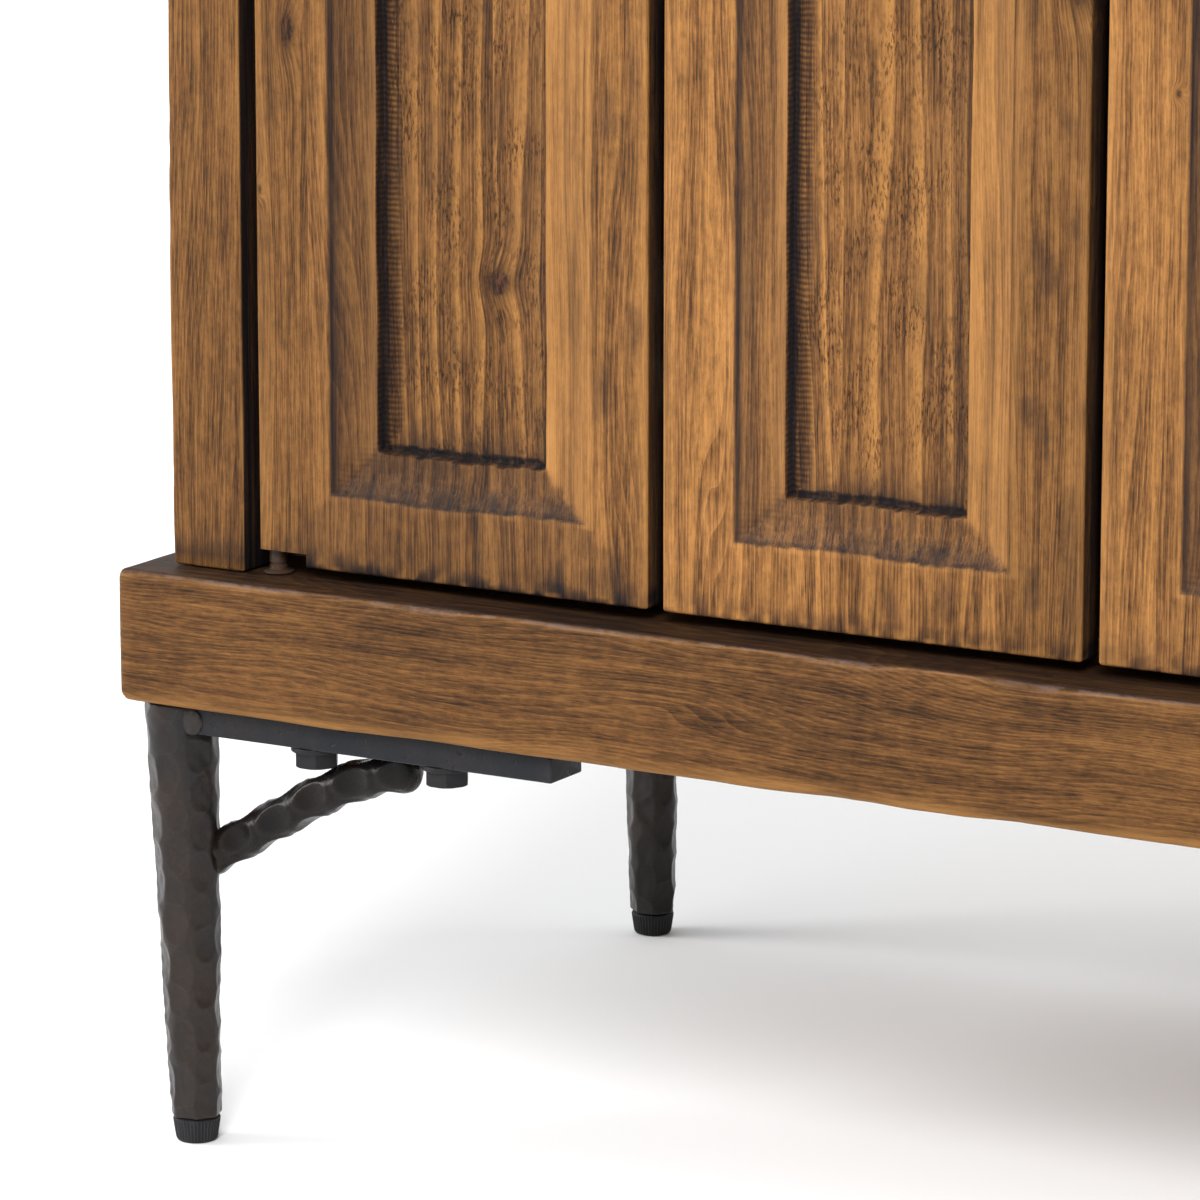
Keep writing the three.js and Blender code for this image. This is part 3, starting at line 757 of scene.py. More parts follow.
def carved_depth(x, z, width, tall, cut, offset, seed):
    """Depth of the front of a leaf below its face. Along each side the scoop falls as D(1 - (1 - t)^2.2),
    from its outer edge at t = 0 to its lip at t = 1, and a short step goes down to the panel. The depth is
    the smaller of the one from the stile and the one from the end, so they meet in a mitre. The edges stray
    by smooth noise."""
    place = stacked(x, z)
    stray = cut.wander * ripple(place, (0.05, 0.13), seed)
    nick = cut.wander * ripple(place, (0.012, 0.017), seed + 1)
    near_side = np.minimum(x - offset, width - x + offset)
    from_side = near_side + 0.35 * stray + 0.10 * nick
    from_end = np.minimum(z, tall - z) + 0.9 * cut.wander * ripple(place, (0.09, 0.09), seed + 2) + 0.6 * nick
    t_side = (from_side - cut.border) / cut.scoop_width
    t_end = (from_end - cut.border) / cut.scoop_height
    t = np.minimum(t_side, t_end)
    fall = cut.scoop_depth * (1 - (1 - np.clip(t, 0, 1)) ** 2.2) + 0.0009 * smooth(0.0, 0.05, t)
    lip_gap = np.minimum((t_side - 1) * cut.scoop_width, (t_end - 1) * cut.scoop_height)
    step = smooth(0.0, 0.0013, lip_gap)
    groove = 0.0008 * np.exp(-((lip_gap - 0.002) / 0.0018) ** 2)
    panel = cut.panel_depth + groove + 0.0005 * ripple(place, (0.05, 0.2), seed + 3)
    depth = fall + step * (panel - fall)
    in_end = (t_end < t_side) & (t_end > 0) & (t_end < 1)
    gouge = cut.chatter * ripple(place, (0.0075, 0.06), seed + 4)
    gouge = gouge + 0.5 * cut.chatter * ripple(place, (0.03, 0.0045), seed + 5)
    depth = depth + in_end * np.sin(np.pi * np.clip(t_end, 0, 1)) ** 0.5 * gouge
    plane = 0.00045 * (0.5 + 0.5 * ripple(place, (0.05, 0.25), seed + 6))
    return np.maximum(depth, 0) + plane, t_side, t_end, lip_gap


def leaf_finish(x, z, width, t_side, t_end, lip_gap, seed, joints, tones, low_shade):
    """Painted values of a leaf front: black stain and painted shade in the step and at the outer edge of the
    scoop, the painted shade strongest on the left sides, which face away from the light, and on the panel
    next to the step; orange on the lip and the arrises, rubbed wear with a painted highlight most on the
    right scoops, which face the light; rough on the panel, a tone for every glued strip, and extra stain on
    the lowest border by low_shade. The tool ribs come with them."""
    place = stacked(x, z)
    patch = 0.5 + 0.5 * ripple(place, (0.03, 0.09), seed + 8)
    spot = 0.5 + 0.5 * ripple(place, (0.014, 0.022), seed + 13)
    t = np.minimum(t_side, t_end)
    left = (x < width / 2) * 1.0
    right = 1 - left
    end = smooth(-0.12, 0.22, t_side - t_end + 0.15 * (spot - 0.5))
    scoop = (lip_gap < 0) * 1.0
    # black stain along the outer edge of the scoop, on the left sides partly painted shade
    line = end * (0.62 + 0.3 * spot) + (1 - end) * left * 0.92
    line = smooth(-0.03, 0.02, t) * (1 - smooth(0.06, 0.22, t)) * line
    # darkening into the scoop: stain at the ends, painted shade on the left sides, little on the right
    fade = smooth(-0.02, 0.05, t) * (1 - smooth(0.15, 0.85, t))
    fade = fade * (end * (0.42 + 0.38 * patch) + (1 - end) * (left * (0.45 + 0.25 * patch) + right * 0.10))
    # painted shade and stain in the lower left corner of the carving
    corner = left * (t > 0) * scoop * np.exp(-np.abs(t_side - t_end) / 0.45) * smooth(0.09, 0.07, z) * 0.6
    # darker over the scoop: stain at the ends, painted shade on the left sides
    wash_and_shade = smooth(-0.02, 0.1, t) * scoop * (end * (0.44 - 0.14 * right) + (1 - end) * left * 0.36)
    grain = smooth(0.1, 0.6, ripple(place, (0.0035, 0.30), seed + 14))
    stripe = right * (1 - end) * smooth(0.22, 0.30, t) * smooth(0.66, 0.58, t) * grain * 0.42
    comb = smooth(0.25, 0.7, ripple(place, (0.0050, 0.20), seed + 16))
    comb = end * scoop * smooth(0.0, 0.1, t) * comb * 0.6
    step = smooth(-0.0002, 0.0004, lip_gap)
    # black band at the step: stain and painted shade in the recess, wider at the ends and on the left
    reach = (end * 0.0062 + (1 - end) * (left * 0.0040 + right * 0.0022)) * (0.8 + 0.4 * spot)
    black = step * (1 - smooth(0.7, 1.25, lip_gap / reach))
    # painted shade on the sunk panel, darkest next to the step
    shade = 0.46 * np.exp(-np.maximum(lip_gap - reach, 0) / 0.012) + 0.08 + 0.20 * smooth(0.5, 1.0, patch)
    shade = step * shade
    smudge = right * (t < -0.1) * smooth(0.30, 0.9, ripple(place, (0.022, 0.060), seed + 15)) * 0.42
    foot = low_shade * end * smooth(0.085, 0.070, z) * (1 - step) * (0.7 + 0.3 * patch)
    stain_and_shade = np.maximum.reduce([line, fade, corner, wash_and_shade, stripe, comb, black * 0.97, shade, smudge])
    stain_and_shade = stain_and_shade + foot * (1 - stain_and_shade)
    # orange on the lip: rubbed wear and a painted highlight, more on the right sides
    lip = smooth(0.70, 0.95, t) * (lip_gap < 0.0002) * (left * 0.55 + right * 0.70) * (1 - end)
    arris = np.exp(-np.minimum(x, width - x) / 0.0045)
    # painted highlight with rubbed wear on the right scoops, which face the light
    warm = right * (1 - end) * smooth(0.0, 0.12, t) * scoop * 0.42
    # brighter just outside the scoop: rubbed wear and a painted highlight, most on the right sides
    brow = np.exp(-((t + 0.07) / 0.06) ** 2) * (end * 0.45 * spot + (1 - end) * (left * 0.2 + right * 0.55))
    # rubbed wear and painted highlights together
    wear_and_highlight = np.maximum.reduce([lip, arris * 0.50, warm, brow]) * (0.6 + 0.5 * patch)
    tone = tones[np.searchsorted(joints, x)]
    ribs = step * left * smooth(0.017, 0.008, lip_gap) * (t_side < t_end) + 0.7 * corner
    values = stacked(np.clip(stain_and_shade, 0, 1), np.clip(wear_and_highlight, 0, 1) * (1 - step), step, tone)
    return values, np.clip(ribs, 0, 1)


def leaf_rings(low, high, notch_side, cut, offset, seed, joints, tones, low_shade):
    """A leaf as rings round its section: the carved front from left to right, then round the flat back.
    Rings near the ends are drawn in to round the arris, and below the notch its side of the ring stands in
    at the notch."""
    width, thick, tall = high - low
    columns = leaf_columns(width, cut, offset, joints)
    notch_wide, notch_tall = 0.032, 0.008
    station = leaf_stations(tall, cut, notch_tall if notch_side else 0)
    x, z = np.meshgrid(columns, station)
    depth, t_side, t_end, lip_gap = carved_depth(x, z, width, tall, cut, offset, seed)
    near = np.clip(ARRIS - np.minimum(x, width - x), 0, ARRIS)
    depth = depth + ARRIS - np.sqrt(ARRIS ** 2 - near ** 2)
    front = stacked(x, depth, z)
    painted, ribs = leaf_finish(x, z, width, t_side, t_end, lip_gap, seed, joints, tones, low_shade)
    edge_y = np.array([0.0025, 0.0040, 0.010, thick - 0.001])
    back_x = np.concatenate([
        np.full(4, width), [width - 0.001], np.linspace(width - 0.004, 0.004, 12), [0.001], np.zeros(4)])
    back_y = np.concatenate([edge_y, np.full(14, thick), edge_y[::-1]])
    shape = (len(station), len(back_x))
    back = stacked(back_x, back_y, station[:, None])
    # painted shade on the side faces of a leaf, darker deeper into the gap between leaves
    gap_shade = np.array([0.35, 0.62, 0.80, 0.95])
    back_tint_and_gap_shade = np.concatenate([gap_shade, np.full(14, 0.15), gap_shade[::-1]])
    back_paint = finish_values(shape, back_tint_and_gap_shade, 0.0, 0.3, 0.35)
    rings = np.concatenate([front, back], 1)
    inset = end_inset(station, tall, END_ARRIS)[:, None]
    rings[..., 0] = inset + rings[..., 0] * (width - 2 * inset) / width
    rings[..., 1] = thick / 2 + (rings[..., 1] - thick / 2) * (1 - 2 * inset / thick)
    below = station < notch_tall
    if notch_side < 0:
        rings[below, :, 0] = np.maximum(rings[below, :, 0], notch_wide)
    elif notch_side > 0:
        rings[below, :, 0] = np.minimum(rings[below, :, 0], width - notch_wide)
    nip = 0.5 + 0.5 * ripple(rings, 0.014, seed + 12)
    foot = np.exp(-(station[:, None] / (0.004 + 0.008 * nip)) ** 2)
    paint = np.concatenate([painted, back_paint], 1)
    paint[..., 0] = np.clip(paint[..., 0] + 0.62 * foot * smooth(0.25, 0.6, nip), 0, 1)
    scuff = 0.5 * np.exp(-station / 0.003)[:, None] * smooth(0.6, 0.3, nip)
    paint[..., 1] = np.clip(paint[..., 1] + scuff, 0, 1)
    return rings + low, paint, np.concatenate([ribs, np.zeros(shape)], 1)


DOOR_KNOTS = (
    (-0.505, -0.27, 0.661, 0.0036, 0.0095), (-0.374, -0.27, 0.526, 0.0072, 0.0066),
    (-0.011, -0.27, 0.711, 0.0065, 0.0080), (-0.160, -0.27, 1.180, 0.0070, 0.0090),
    (-0.5245, -0.27, 0.569, 0.0014, 0.0026), (0.046, -0.27, 0.660, 0.0012, 0.0016),
    (0.060, -0.27, 0.900, 0.0060, 0.0070), (0.290, -0.27, 1.420, 0.0080, 0.0100),
    (0.480, -0.27, 0.640, 0.0060, 0.0080), (-0.430, -0.27, 1.520, 0.0070, 0.0110),
)


def make_doors():
    """Four leaves. Each has its own offset of the carving, glue lines, strip tones and low shade."""
    cut = bpy.context.scene.armoire_carving
    look = material("door_pine", wood, 2, 1, knots=DOOR_KNOTS)
    leaves = {
        "outer_left": (0.0045, (0.035, 0.150), (0.12, 0.28, 0.50), 0.38),
        "inner_left": (0.0008, (0.105, 0.211), (0.90, 0.52, 0.10), 0.0),
        "inner_right": (0.0030, (0.060, 0.190), (0.70, 0.40, 0.25), 0.15),
        "outer_right": (-0.0025, (0.085, 0.224), (0.20, 0.55, 0.85), 0.25),
    }
    for k, (place, (offset, joints, tones, low_shade)) in enumerate(leaves.items()):
        leaf, side = place.split("_")
        low, high = box_of(f"door_{place}")
        notch_side = 0 if leaf == "inner" else (-1 if side == "left" else 1)
        rings, paint, ribs = leaf_rings(low, high, notch_side, cut, offset, 101 + 20 * k, np.array(joints),
                                       np.array(tones), low_shade)
        add_piece(f"door_leaf_{place}", rings, look, f"{leaf}_leaf_{side}", (f"door_{place}",),
                  paint, sharp=50, weld=True, ribs=ribs)


def make_door_hardware():
    """Pins turned from profiles of (radius, height), and dull steel on the hinges."""
    dull = material("plated_steel", steel)
    dark = material("pivot_iron", iron, (0.042, 0.026, 0.017), 4)
    for side in SIDES:
        for part in ("lower", "middle", "upper"):
            for leaf in ("outer", "inner"):
                refinish(f"hinge_{part}_{leaf}_{side}", dull)
        low, high = box_of(f"pivot_lower_{side}")
        centre = (*middle_of(f"pivot_lower_{side}")[:2], low[2])
        profile = np.array([
            (0.5, 0), (8.4, 0), (8.9, 0.4), (8.9, 1.1), (8.4, 1.5), (6.4, 1.7), (5.4, 2.4), (5.2, 4.6),
            (4.6, 5.0), (4.6, 5.8), (5.2, 6.2), (5.2, 13.3), (4.6, 14.0), (4, 14.1), (4, 33.5), (3.2, 34.5),
            (0.5, 34.6)]) * MM
        add_piece(f"jamb_pivot_{side}", lathe(profile, centre), dark, "cabinet",
                  (f"pivot_lower_{side}",))
        for name, body in (("pivot_upper", "outer_leaf"), ("guide_pin", "inner_leaf")):
            low, high = box_of(f"{name}_{side}")
            tall = high[2] - low[2]
            pin = np.array([(0.5, 0), (7.5, 0), (8, 0.5), (8, 1.5), (7.5, 2), (5, 2.1), (5, tall / MM - 0.8),
                            (4.2, tall / MM), (0.5, tall / MM)]) * MM
            centre = (*middle_of(f"{name}_{side}")[:2], low[2])
            add_piece(f"{name}_turned_{side}", lathe(pin, centre), dull, f"{body}_{side}",
                      (f"{name}_{side}",))


def make_pulls():
    """Each grip is a hammered bar, slimmer at its middle: radius = r(0.82 + 0.18 s^2) less a ripple of
    facets, where s runs from -1 to 1. Its stubs end in round plates on the leaf."""
    look = material("hammered_iron", iron, bpy.context.scene.armoire_iron.iron, 2, least_rough=0.12)
    for k, side in enumerate(SIDES):
        low, high = box_of(f"pull_{side}")
        radius = (high[0] - low[0]) / 2
        x = (low[0] + high[0]) / 2
        distance, share = rounded_ends(60, radius * 0.9, high[2] - low[2])
        s = distance / (high[2] - low[2]) * 2 - 1
        turn = full_turn(32)
        spot = stacked(distance[:, None], np.cos(turn) * 0.01, np.sin(turn) * 0.01)
        bumps = ripple(spot, 0.014, 201 + k)
        r = radius * (0.82 + 0.18 * s[:, None] ** 2) * share[:, None] * (0.96 + 0.04 * bumps)
        rings = round_rings(x, low[1] + radius, r, turn, (low[2] + distance)[:, None])
        body = f"inner_leaf_{side}"
        finish = finish_values(r.shape, 0, np.clip(bumps, 0, 1) * 0.5)
        add_piece(f"pull_grip_{side}", rings, look, body, (f"pull_{side}",), finish)
        reach = high[1] - low[1] - radius
        for end, z in (("low", low[2] + 0.012), ("high", high[2] - 0.012)):
            profile = [(0.0005, 0), (0.0036, 0.0005), (0.0034, reach - 0.005), (0.0042, reach - 0.003),
                       (0.0080, reach - 0.0022), (0.0088, reach - 0.0012), (0.0088, reach), (0.0005, reach)]
            stub = lathe(profile, (0, 0, 0), 40)
            stub = stacked(stub[..., 0] + x, stub[..., 2] + low[1] + radius, stub[..., 1] + z)
            add_piece(f"pull_stub_{end}_{side}", stub, look, body)


# ---------------------------------------------------------------- iron base


def make_legs():
    """Each leg is a tapered round bar with hammer marks in seven rows along it. A mark at angle a and height
    h is the plane r = d / cos(angle - a), hollow along the leg as (height - h)^2, and the surface is the
    nearest of all the planes and of the bar itself."""
    look = bpy.context.scene.armoire_iron
    metal = material("hammered_iron", iron, look.iron, 2, least_rough=0.12)
    sides, foot_radius, flare = 7, 0.0153, 0.0067
    for k, corner in enumerate(CORNERS):
        low, high = box_of(f"leg_{corner}")
        head = (low + high) / 2
        foot = middle_of(f"glide_{corner}")
        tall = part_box(f"bracket_{corner}")[1][2] - low[2]
        draw = np.random.default_rng(301 + k)
        turn = full_turn(120)
        distance, share = rounded_ends(300, 0.0015, tall)
        share = 1 - (1 - share) * 0.10
        share[0] = share[-1] = 0.88
        base = foot_radius + flare * distance / tall
        rows = int(tall / look.facet_pitch) + 2
        row, column = np.meshgrid(np.arange(rows), np.arange(sides), indexing="ij")
        angle = (column + 0.16 * draw.uniform(-1, 1, row.shape)) * 2 * np.pi / sides - 1.40
        height = (row + 0.5 * (column % 2) + 0.28 * draw.uniform(-1, 1, row.shape)) * look.facet_pitch
        bite = look.facet_depth * draw.uniform(0.45, 1.1, row.shape)
        angle, height, bite = angle.ravel(), height.ravel(), bite.ravel()
        swing = (turn[None, :, None] - angle + np.pi) % (2 * np.pi) - np.pi
        away = distance[:, None, None] - height
        hollow = 0.85 * look.facet_depth / (look.facet_pitch * 0.62) ** 2
        flat = (base[:, None, None] - bite + away ** 2 * hollow) / np.maximum(np.cos(swing), 0.25)
        flat = flat + (np.abs(swing) > 1.0) * 1.0
        cuts = np.sort(flat, axis=-1)
        r = np.minimum(cuts[..., 0], base[:, None])
        ridge = np.exp(-(np.minimum(cuts[..., 1], base[:, None]) - r) / 0.00012)
        ridge = ridge * (cuts[..., 0] < base[:, None])
        spot = stacked(distance[:, None], np.cos(turn) * 0.02, np.sin(turn) * 0.02)
        r = (r - 0.0004 * (0.5 + 0.5 * ripple(spot, 0.010, 311 + k))) * share[:, None]
        lean = (1 - distance / tall)[:, None]
        x = head[0] + (foot[0] - head[0]) * lean
        y = head[1] + (foot[1] - head[1]) * lean
        rings = round_rings(x, y, r, turn, (low[2] + distance)[:, None])
        finish = finish_values(r.shape, 0, np.clip(ridge * 0.30, 0, 1))
        add_piece(f"hammered_leg_{corner}", rings, metal, "cabinet", (f"leg_{corner}",),
                  finish, 60)


def make_glides():
    """A glide is a tapered pad on a threaded stem. Upright ribs cut its rim, r = R(z) - d |sin(n a)|."""
    black = material("glide_black", plastic)
    thread = material("plated_steel", steel)
    for corner in CORNERS:
        centre = middle_of(f"glide_{corner}")
        turn = full_turn(320)
        pad = np.array([(0.5, 0), (9.5, 0), (11.4, 0.5), (12.2, 1.6), (12.5, 2.8), (13.9, 12.2), (14.0, 13.4),
                        (13.6, 14.3), (12.6, 14.9), (0.5, 15.0)]) * MM
        rib = np.array([0, 0, 0, 0.4, 1, 1, 0.5, 0, 0, 0])
        r = pad[:, :1] - 0.0006 * rib[:, None] * np.abs(np.sin(20 * turn))
        rings = round_rings(centre[0], centre[1], r, turn, pad[:, 1:])
        finish = finish_values(r.shape, 0, 0.5 * rib[:, None] * (1 - np.abs(np.sin(20 * turn))) ** 3)
        body = f"glide_{corner}"
        add_piece(f"levelling_pad_{corner}", rings, black, body, (body,), finish)
        count = 40
        z = np.linspace(0.0151, 0.0440, count)
        profile = np.stack([0.0036 + 0.0004 * (np.arange(count) % 2), z], 1)
        stem = lathe(profile, (centre[0], centre[1], 0), 28)
        add_piece(f"levelling_stem_{corner}", stem, thread, body, sharp=20)


BAR_THICK = 0.0165


def hex_head(x, y, top, radius, washer, look, name):
    """A bolt head under a washer, from the top down: the washer is round, and the head is the hexagon
    r = a / cos(angle within a sixth) held inside a cone that chamfers its corners."""
    turn = full_turn(96)
    flat = radius * math.cos(math.pi / 6)
    within = (turn % (np.pi / 3)) - np.pi / 6
    hexagon = flat / np.cos(within)
    wide = washer + 0.0003
    down, reach, in_head = np.array([
        (0.0, washer, 0), (0.0004, wide, 0), (0.0022, wide, 0), (0.0028, washer, 0), (0.0029, radius, 1),
        (0.0100, radius, 1), (0.0112, radius * 0.965, 1), (0.0119, radius * 0.90, 1),
        (0.0120, radius * 0.83, 1), (0.01195, 0.0005, 1)]).T[..., None]
    r = np.where(in_head, np.minimum(hexagon, reach), reach)
    rings = round_rings(x, y, r, turn, top - down)
    add_piece(name, rings, look, "cabinet", sharp=25)


def weld_patch(name, centre, reach, look, seed):
    """A dressed lump of weld metal: an ellipsoid of these half sizes whose radius strays by smooth noise."""
    tilt = np.linspace(0, np.pi, 26)[:, None]
    turn = full_turn(44)
    out = round_rings(0, 0, np.sin(tilt), turn, np.cos(tilt))
    lump = 1 + 0.07 * ripple(out, 0.9, seed)[..., None]
    rings = np.array(centre) + (out * lump * np.array(reach))[1:-1]
    finish = finish_values(rings.shape[:2], wear_and_highlight=0.15)
    add_piece(name, rings, look, "cabinet", (), finish, 60)


def make_brackets():
    """A flat bar and a shorter side bar under the plinth, with bolt heads and weld at the leg."""
    look = bpy.context.scene.armoire_iron
    metal = material("scaled_bar", iron, look.bar, 6, pits=0.8, grain=520.0, specular=0.18)
    bolt = material("bolt_black", iron, (0.0095, 0.0095, 0.0105), 9)
    weld = material("hammered_iron", iron, look.iron, 2, least_rough=0.12)
    washer, bolt_under, width = 0.0146, 0.012, 0.034
    bar = {"wear_and_highlight": 0.35, "edge": 1.1, "wave": 0.25, "step": 0.008, "flats": (5, 4)}
    for corner in CORNERS:
        end, side = corner.split("_")
        inward = np.array([1 if side == "left" else -1, 1 if end == "front" else -1])
        low, high = box_of(f"bracket_{corner}")
        leg = middle_of(f"leg_{corner}")
        top = high[2]
        under = low[2] + bolt_under
        middle_y = leg[1] + inward[1] * 0.002
        tip_x = high[0] if inward[0] > 0 else low[0]
        tip_y = high[1] if inward[1] > 0 else low[1]
        arm_low = (min(leg[0] + inward[0] * 0.012, tip_x), middle_y - width / 2, top - BAR_THICK)
        arm_high = (max(leg[0] + inward[0] * 0.012, tip_x), middle_y + width / 2, top)
        make_board(f"bracket_bar_{corner}", arm_low, arm_high, 0, metal, "bracket_steel",
                   (f"bracket_{corner}",), seed=421, **bar)
        start_y = leg[1] + inward[1] * 0.020
        side_low = (leg[0] - width / 2, min(start_y, tip_y), top - BAR_THICK)
        side_high = (leg[0] + width / 2, max(start_y, tip_y), top)
        make_board(f"bracket_side_bar_{corner}", side_low, side_high, 1, metal, "bracket_steel", seed=431,
                   **bar)
        heads = [(leg[0] + inward[0] * reach, leg[1] - inward[1] * 0.001) for reach in (0.094, 0.182)]
        heads.append((leg[0], tip_y - inward[1] * 0.060))
        for k, (x, y) in enumerate(heads):
            hex_head(x, y, under, 0.0135, washer, bolt, f"bracket_bolt_{corner}_{k + 1}")
        front = (leg[0] + inward[0] * 0.0165, leg[1] - inward[1] * 0.0152, top - 0.0088)
        weld_patch(f"bracket_weld_{corner}", front, (0.0080, 0.0024, 0.0084), weld, 441)
        beside = (leg[0] - inward[0] * 0.0175, leg[1] + inward[1] * 0.0060, top - 0.0105)
        weld_patch(f"bracket_side_weld_{corner}", beside, (0.0022, 0.0120, 0.0090), weld, 445)


def make_braces():
    """A brace is a round bar bowed up from the leg to the bar, a cubic curve between four points, with four
    rows of oval hammer dents a quarter turn apart: radius = r - d(1 - n^2) inside a dent, where n is the
    distance from its middle as a share of its half size."""
    look = bpy.context.scene.armoire_iron
    metal = material("brace_iron", iron, [c * 0.42 for c in look.iron], 5, specular=0.16, least_rough=0.06)
    phases = np.array([0.25, 0.0, 0.5, 0.75])
    for k, corner in enumerate(CORNERS):
        side = 1 if corner.endswith("left") else -1
        low, high = box_of(f"brace_{corner}")
        radius = 0.0124
        start, end = (low[0], high[0]) if side > 0 else (high[0], low[0])
        y = (low[1] + high[1]) / 2
        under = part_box(f"bracket_{corner}")[1][2] - BAR_THICK
        pegs = np.array([
            (start - side * 0.006, y, under - 0.0880),
            (start + side * 0.058, y, under - 0.0560),
            (start + side * 0.098, y, under - radius * 1.30),
            (end - side * 0.002, y, under - radius * 0.86),
        ])
        fine = np.linspace(0, 1, 800)[:, None]
        curve = ((1 - fine) ** 3 * pegs[0] + 3 * fine * (1 - fine) ** 2 * pegs[1]
                 + 3 * fine ** 2 * (1 - fine) * pegs[2] + fine ** 3 * pegs[3])
        walked = np.concatenate([[0], np.cumsum(np.linalg.norm(np.diff(curve, axis=0), axis=1))])
        distance, share = rounded_ends(220, radius * 0.7, walked[-1])
        route = np.stack([np.interp(distance, walked, curve[:, axis]) for axis in range(3)], 1)
        turn = full_turn(88)
        draw = np.random.default_rng(331 + k)
        rows = np.arange(-1, int(walked[-1] / look.dent_pitch) + 2)
        row, column = np.meshgrid(rows, np.arange(4), indexing="ij")
        at = (row + 0.62 + phases[column] + 0.05 * draw.uniform(-1, 1, row.shape)) * look.dent_pitch
        angle = (column + 0.10 * draw.uniform(-1, 1, row.shape)) * np.pi / 2
        at, angle = at.ravel(), angle.ravel()
        if side < 0:
            angle = np.pi - angle
        swing = ((turn[None, :, None] - angle + np.pi) % (2 * np.pi) - np.pi) * radius / 0.0084
        away = (distance[:, None, None] - at) / 0.0120
        near = np.sqrt(swing ** 2 + away ** 2).min(-1)
        dent = np.clip(1 - near ** 2, 0, 1)
        # a painted highlight with rubbed wear on the rim of each dent
        rim = np.exp(-((near - 1.0) / 0.16) ** 2)
        r = (radius - look.dent_depth * dent - 0.0004 * smooth(1.0, 1.5, near)) * share[:, None]
        rings = carried(route, r, turn)
        finish = finish_values(r.shape, 0.25 * dent, 0.24 * rim)
        add_piece(f"hammered_brace_{corner}", rings, metal, "cabinet", (f"brace_{corner}",),
                  finish, 60)


# ---------------------------------------------------------------- studio


def area_light(name, place, target, size, power, colour):
    light = bpy.data.lights.new(name, "AREA")
    light.shape = "RECTANGLE"
    light.size, light.size_y = size
    light.energy = power
    light.color = colour
    lamp = bpy.data.objects.new(name, light)
    lamp.location = place
    lamp.rotation_euler = (Vector(target) - Vector(place)).to_track_quat("-Z", "Y").to_euler()
    bpy.context.scene.collection.objects.link(lamp)


def sun_light(name, around, above, strength, spread, colour):
    """An even light from a heading in degrees, round from the front and above the floor."""
    light = bpy.data.lights.new(name, "SUN")
    light.energy, light.angle, light.color = strength, math.radians(spread), colour
    lamp = bpy.data.objects.new(name, light)
    around, above = math.radians(around), math.radians(above)
    lamp.location = 4 * Vector((
        math.sin(around) * math.cos(above), -math.cos(around) * math.cos(above), math.sin(above)))
    lamp.rotation_euler = (-lamp.location).to_track_quat("-Z", "Y").to_euler()
    bpy.context.scene.collection.objects.link(lamp)


def make_studio():
    """Pale floor, a sky that is brightest high on the left, broad lights from the left and the front, and a
    narrow one behind on the right."""
    look = bpy.context.scene.armoire_studio
    half = 40.0
    mesh = bpy.data.meshes.new("studio_floor")
    corners = [(-half, -half, 0), (half, -half, 0), (half, half, 0), (-half, half, 0)]
    mesh.from_pydata(corners, [], [(0, 1, 2, 3)])
    floor = bpy.data.objects.new("studio_floor", mesh)
    paint = bpy.data.materials.new("studio_paper")
    paint.use_nodes = True
    shader = paint.node_tree.nodes["Principled BSDF"]
    shader.inputs["Base Color"].default_value = solid(look.floor)
    shader.inputs["Roughness"].default_value = 0.9
    shader.inputs["Specular IOR Level"].default_value = 0.1
    mesh.materials.append(paint)
    bpy.context.scene.collection.objects.link(floor)
    world = bpy.data.worlds.new("studio_sky")
    world.use_nodes = True
    nodes, links = world.node_tree.nodes, world.node_tree.links
    heading = nodes.new("ShaderNodeTexCoord").outputs["Generated"]
    toward = nodes.new("ShaderNodeVectorMath")
    toward.operation = "DOT_PRODUCT"
    toward.inputs[1].default_value = (-0.66, -0.10, 0.74)
    spread = nodes.new("ShaderNodeMapRange")
    spread.interpolation_type = "SMOOTHSTEP"
    for socket, value in zip(spread.inputs[1:5], (-0.55, 0.95, 0.22 * look.sky, 2.3 * look.sky)):
        socket.default_value = value
    links.new(heading, toward.inputs[0])
    links.new(toward.outputs["Value"], spread.inputs[0])
    links.new(spread.outputs[0], nodes["Background"].inputs["Strength"])
    nodes["Background"].inputs["Color"].default_value = (1, 1, 1, 1)
    bpy.context.scene.world = world
    sun_light("key_light", -62, 22, look.key, 30, (1.0, 0.985, 0.96))
    sun_light("front_light", 25, 35, look.front, 22, (1.0, 1.0, 1.0))
    area_light("rim_light", (2.6, 2.4, 1.0), (-0.4, -0.2, 0.3), (0.7, 1.8), look.rim, (1.0, 1.0, 1.0))
    bpy.context.scene.view_settings.view_transform = "Standard"


def make_camera():
    """A long lens low on the right of the front, aimed down at the lower left corner of the cabinet."""
    place = (1.3603, -3.1015, 1.0547)
    around, above = math.radians(30.431), math.radians(11.354)
    forward = Vector((
        -math.sin(around) * math.cos(above), math.cos(around) * math.cos(above), -math.sin(above)))
    lens = bpy.data.cameras.new("view_camera")
    lens.lens, lens.sensor_width = 181.39, 36.0
    lens.shift_y = -0.06
    lens.clip_start, lens.clip_end = 0.05, 200
    camera = bpy.data.objects.new("view_camera", lens)
    camera.location = place
    camera.rotation_mode = "QUATERNION"
    camera.rotation_quaternion = forward.to_track_quat("-Z", "Y")
    bpy.context.scene.collection.objects.link(camera)
    bpy.context.scene.camera = camera


# ---------------------------------------------------------------- operators


class ARMOIRE_OT_studio(Operator):
    """Add the floor, the lights and the camera"""

    bl_idname = "armoire.studio"
    bl_label = "Studio"

    def execute(self, context):
        make_studio()
        make_camera()
        return {"FINISHED"}


class ARMOIRE_OT_plinth(Operator):
    """Add the plinth rails"""

    bl_idname = "armoire.plinth"
    bl_label = "Plinth"

    def execute(self, context):
        make_plinth()
        return {"FINISHED"}


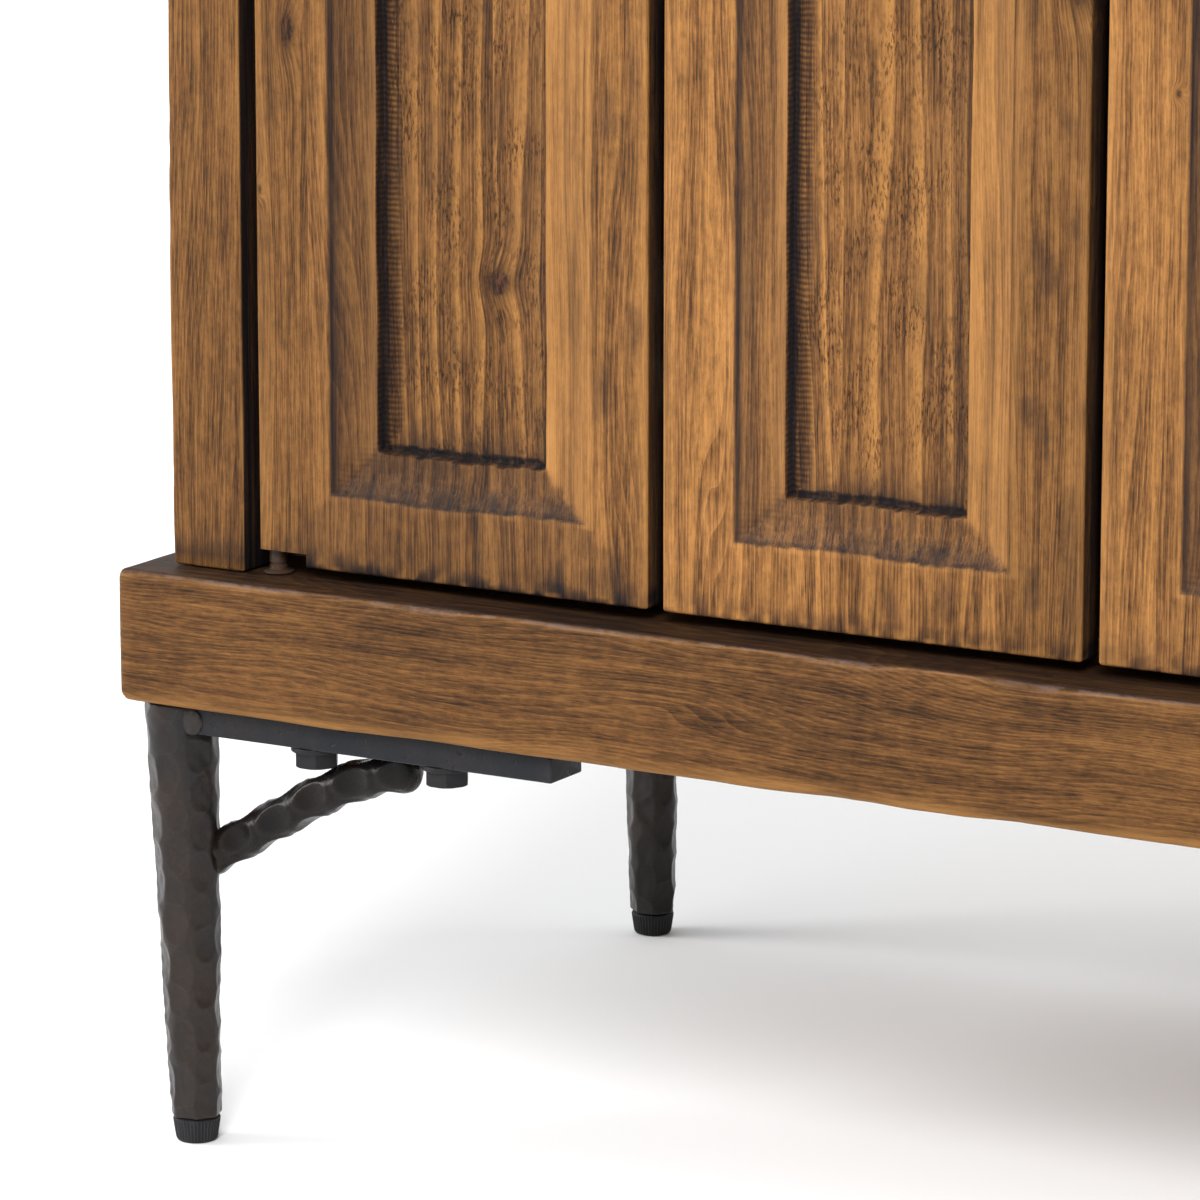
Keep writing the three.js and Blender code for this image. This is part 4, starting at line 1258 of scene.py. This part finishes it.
class ARMOIRE_OT_top(Operator):
    """Add the top slab"""

    bl_idname = "armoire.top"
    bl_label = "Top"

    def execute(self, context):
        make_top()
        return {"FINISHED"}


class ARMOIRE_OT_posts(Operator):
    """Add the corner posts"""

    bl_idname = "armoire.posts"
    bl_label = "Posts"

    def execute(self, context):
        make_posts()
        return {"FINISHED"}


class ARMOIRE_OT_panels(Operator):
    """Add the side and back planks"""

    bl_idname = "armoire.panels"
    bl_label = "Panels"

    def execute(self, context):
        make_panels()
        return {"FINISHED"}


class ARMOIRE_OT_interior(Operator):
    """Finish the shelves and add the hanging rail"""

    bl_idname = "armoire.interior"
    bl_label = "Interior"

    def execute(self, context):
        make_interior()
        return {"FINISHED"}


class ARMOIRE_OT_header(Operator):
    """Add the grooved header beam"""

    bl_idname = "armoire.header"
    bl_label = "Header"

    def execute(self, context):
        make_header()
        return {"FINISHED"}


class ARMOIRE_OT_doors(Operator):
    """Add the carved door leaves"""

    bl_idname = "armoire.doors"
    bl_label = "Doors"

    def execute(self, context):
        make_doors()
        return {"FINISHED"}


class ARMOIRE_OT_door_hardware(Operator):
    """Add the pivots and pins and finish the hinges"""

    bl_idname = "armoire.door_hardware"
    bl_label = "Door hardware"

    def execute(self, context):
        make_door_hardware()
        return {"FINISHED"}


class ARMOIRE_OT_pulls(Operator):
    """Add the door pulls"""

    bl_idname = "armoire.pulls"
    bl_label = "Pulls"

    def execute(self, context):
        make_pulls()
        return {"FINISHED"}


class ARMOIRE_OT_legs(Operator):
    """Add the hammered legs"""

    bl_idname = "armoire.legs"
    bl_label = "Legs"

    def execute(self, context):
        make_legs()
        return {"FINISHED"}


class ARMOIRE_OT_glides(Operator):
    """Add the levelling glides"""

    bl_idname = "armoire.glides"
    bl_label = "Glides"

    def execute(self, context):
        make_glides()
        return {"FINISHED"}


class ARMOIRE_OT_brackets(Operator):
    """Add the bracket bars, welds and bolts"""

    bl_idname = "armoire.brackets"
    bl_label = "Brackets"

    def execute(self, context):
        make_brackets()
        return {"FINISHED"}


class ARMOIRE_OT_braces(Operator):
    """Add the hammered braces"""

    bl_idname = "armoire.braces"
    bl_label = "Braces"

    def execute(self, context):
        make_braces()
        return {"FINISHED"}


OPERATORS = (
    ARMOIRE_OT_studio,
    ARMOIRE_OT_plinth,
    ARMOIRE_OT_top,
    ARMOIRE_OT_posts,
    ARMOIRE_OT_panels,
    ARMOIRE_OT_interior,
    ARMOIRE_OT_header,
    ARMOIRE_OT_doors,
    ARMOIRE_OT_door_hardware,
    ARMOIRE_OT_pulls,
    ARMOIRE_OT_legs,
    ARMOIRE_OT_glides,
    ARMOIRE_OT_brackets,
    ARMOIRE_OT_braces,
)
SETTINGS = {
    "armoire_carving": CarvingSettings,
    "armoire_wood": WoodSettings,
    "armoire_iron": IronSettings,
    "armoire_studio": StudioSettings,
}


class ARMOIRE_PT_pieces(Panel):
    """Lists the settings and the operators"""

    bl_label = "Armoire"
    bl_space_type = "VIEW_3D"
    bl_region_type = "UI"
    bl_category = "Armoire"

    def draw(self, context):
        for name, group in SETTINGS.items():
            box = self.layout.box()
            for key in group.__annotations__:
                box.prop(getattr(context.scene, name), key)
        for each in OPERATORS:
            self.layout.operator(each.bl_idname)


CLASSES = (*SETTINGS.values(), *OPERATORS, ARMOIRE_PT_pieces)


def register():
    for each in CLASSES:
        bpy.utils.register_class(each)
    for name, group in SETTINGS.items():
        setattr(bpy.types.Scene, name, PointerProperty(type=group))


def unregister():
    for name in SETTINGS:
        delattr(bpy.types.Scene, name)
    for each in reversed(CLASSES):
        bpy.utils.unregister_class(each)


def main():
    register()
    for each in OPERATORS:
        getattr(bpy.ops.armoire, each.bl_idname.split(".")[1])()
    bpy.context.view_layer.update()


if __name__ == "__main__":
    main()
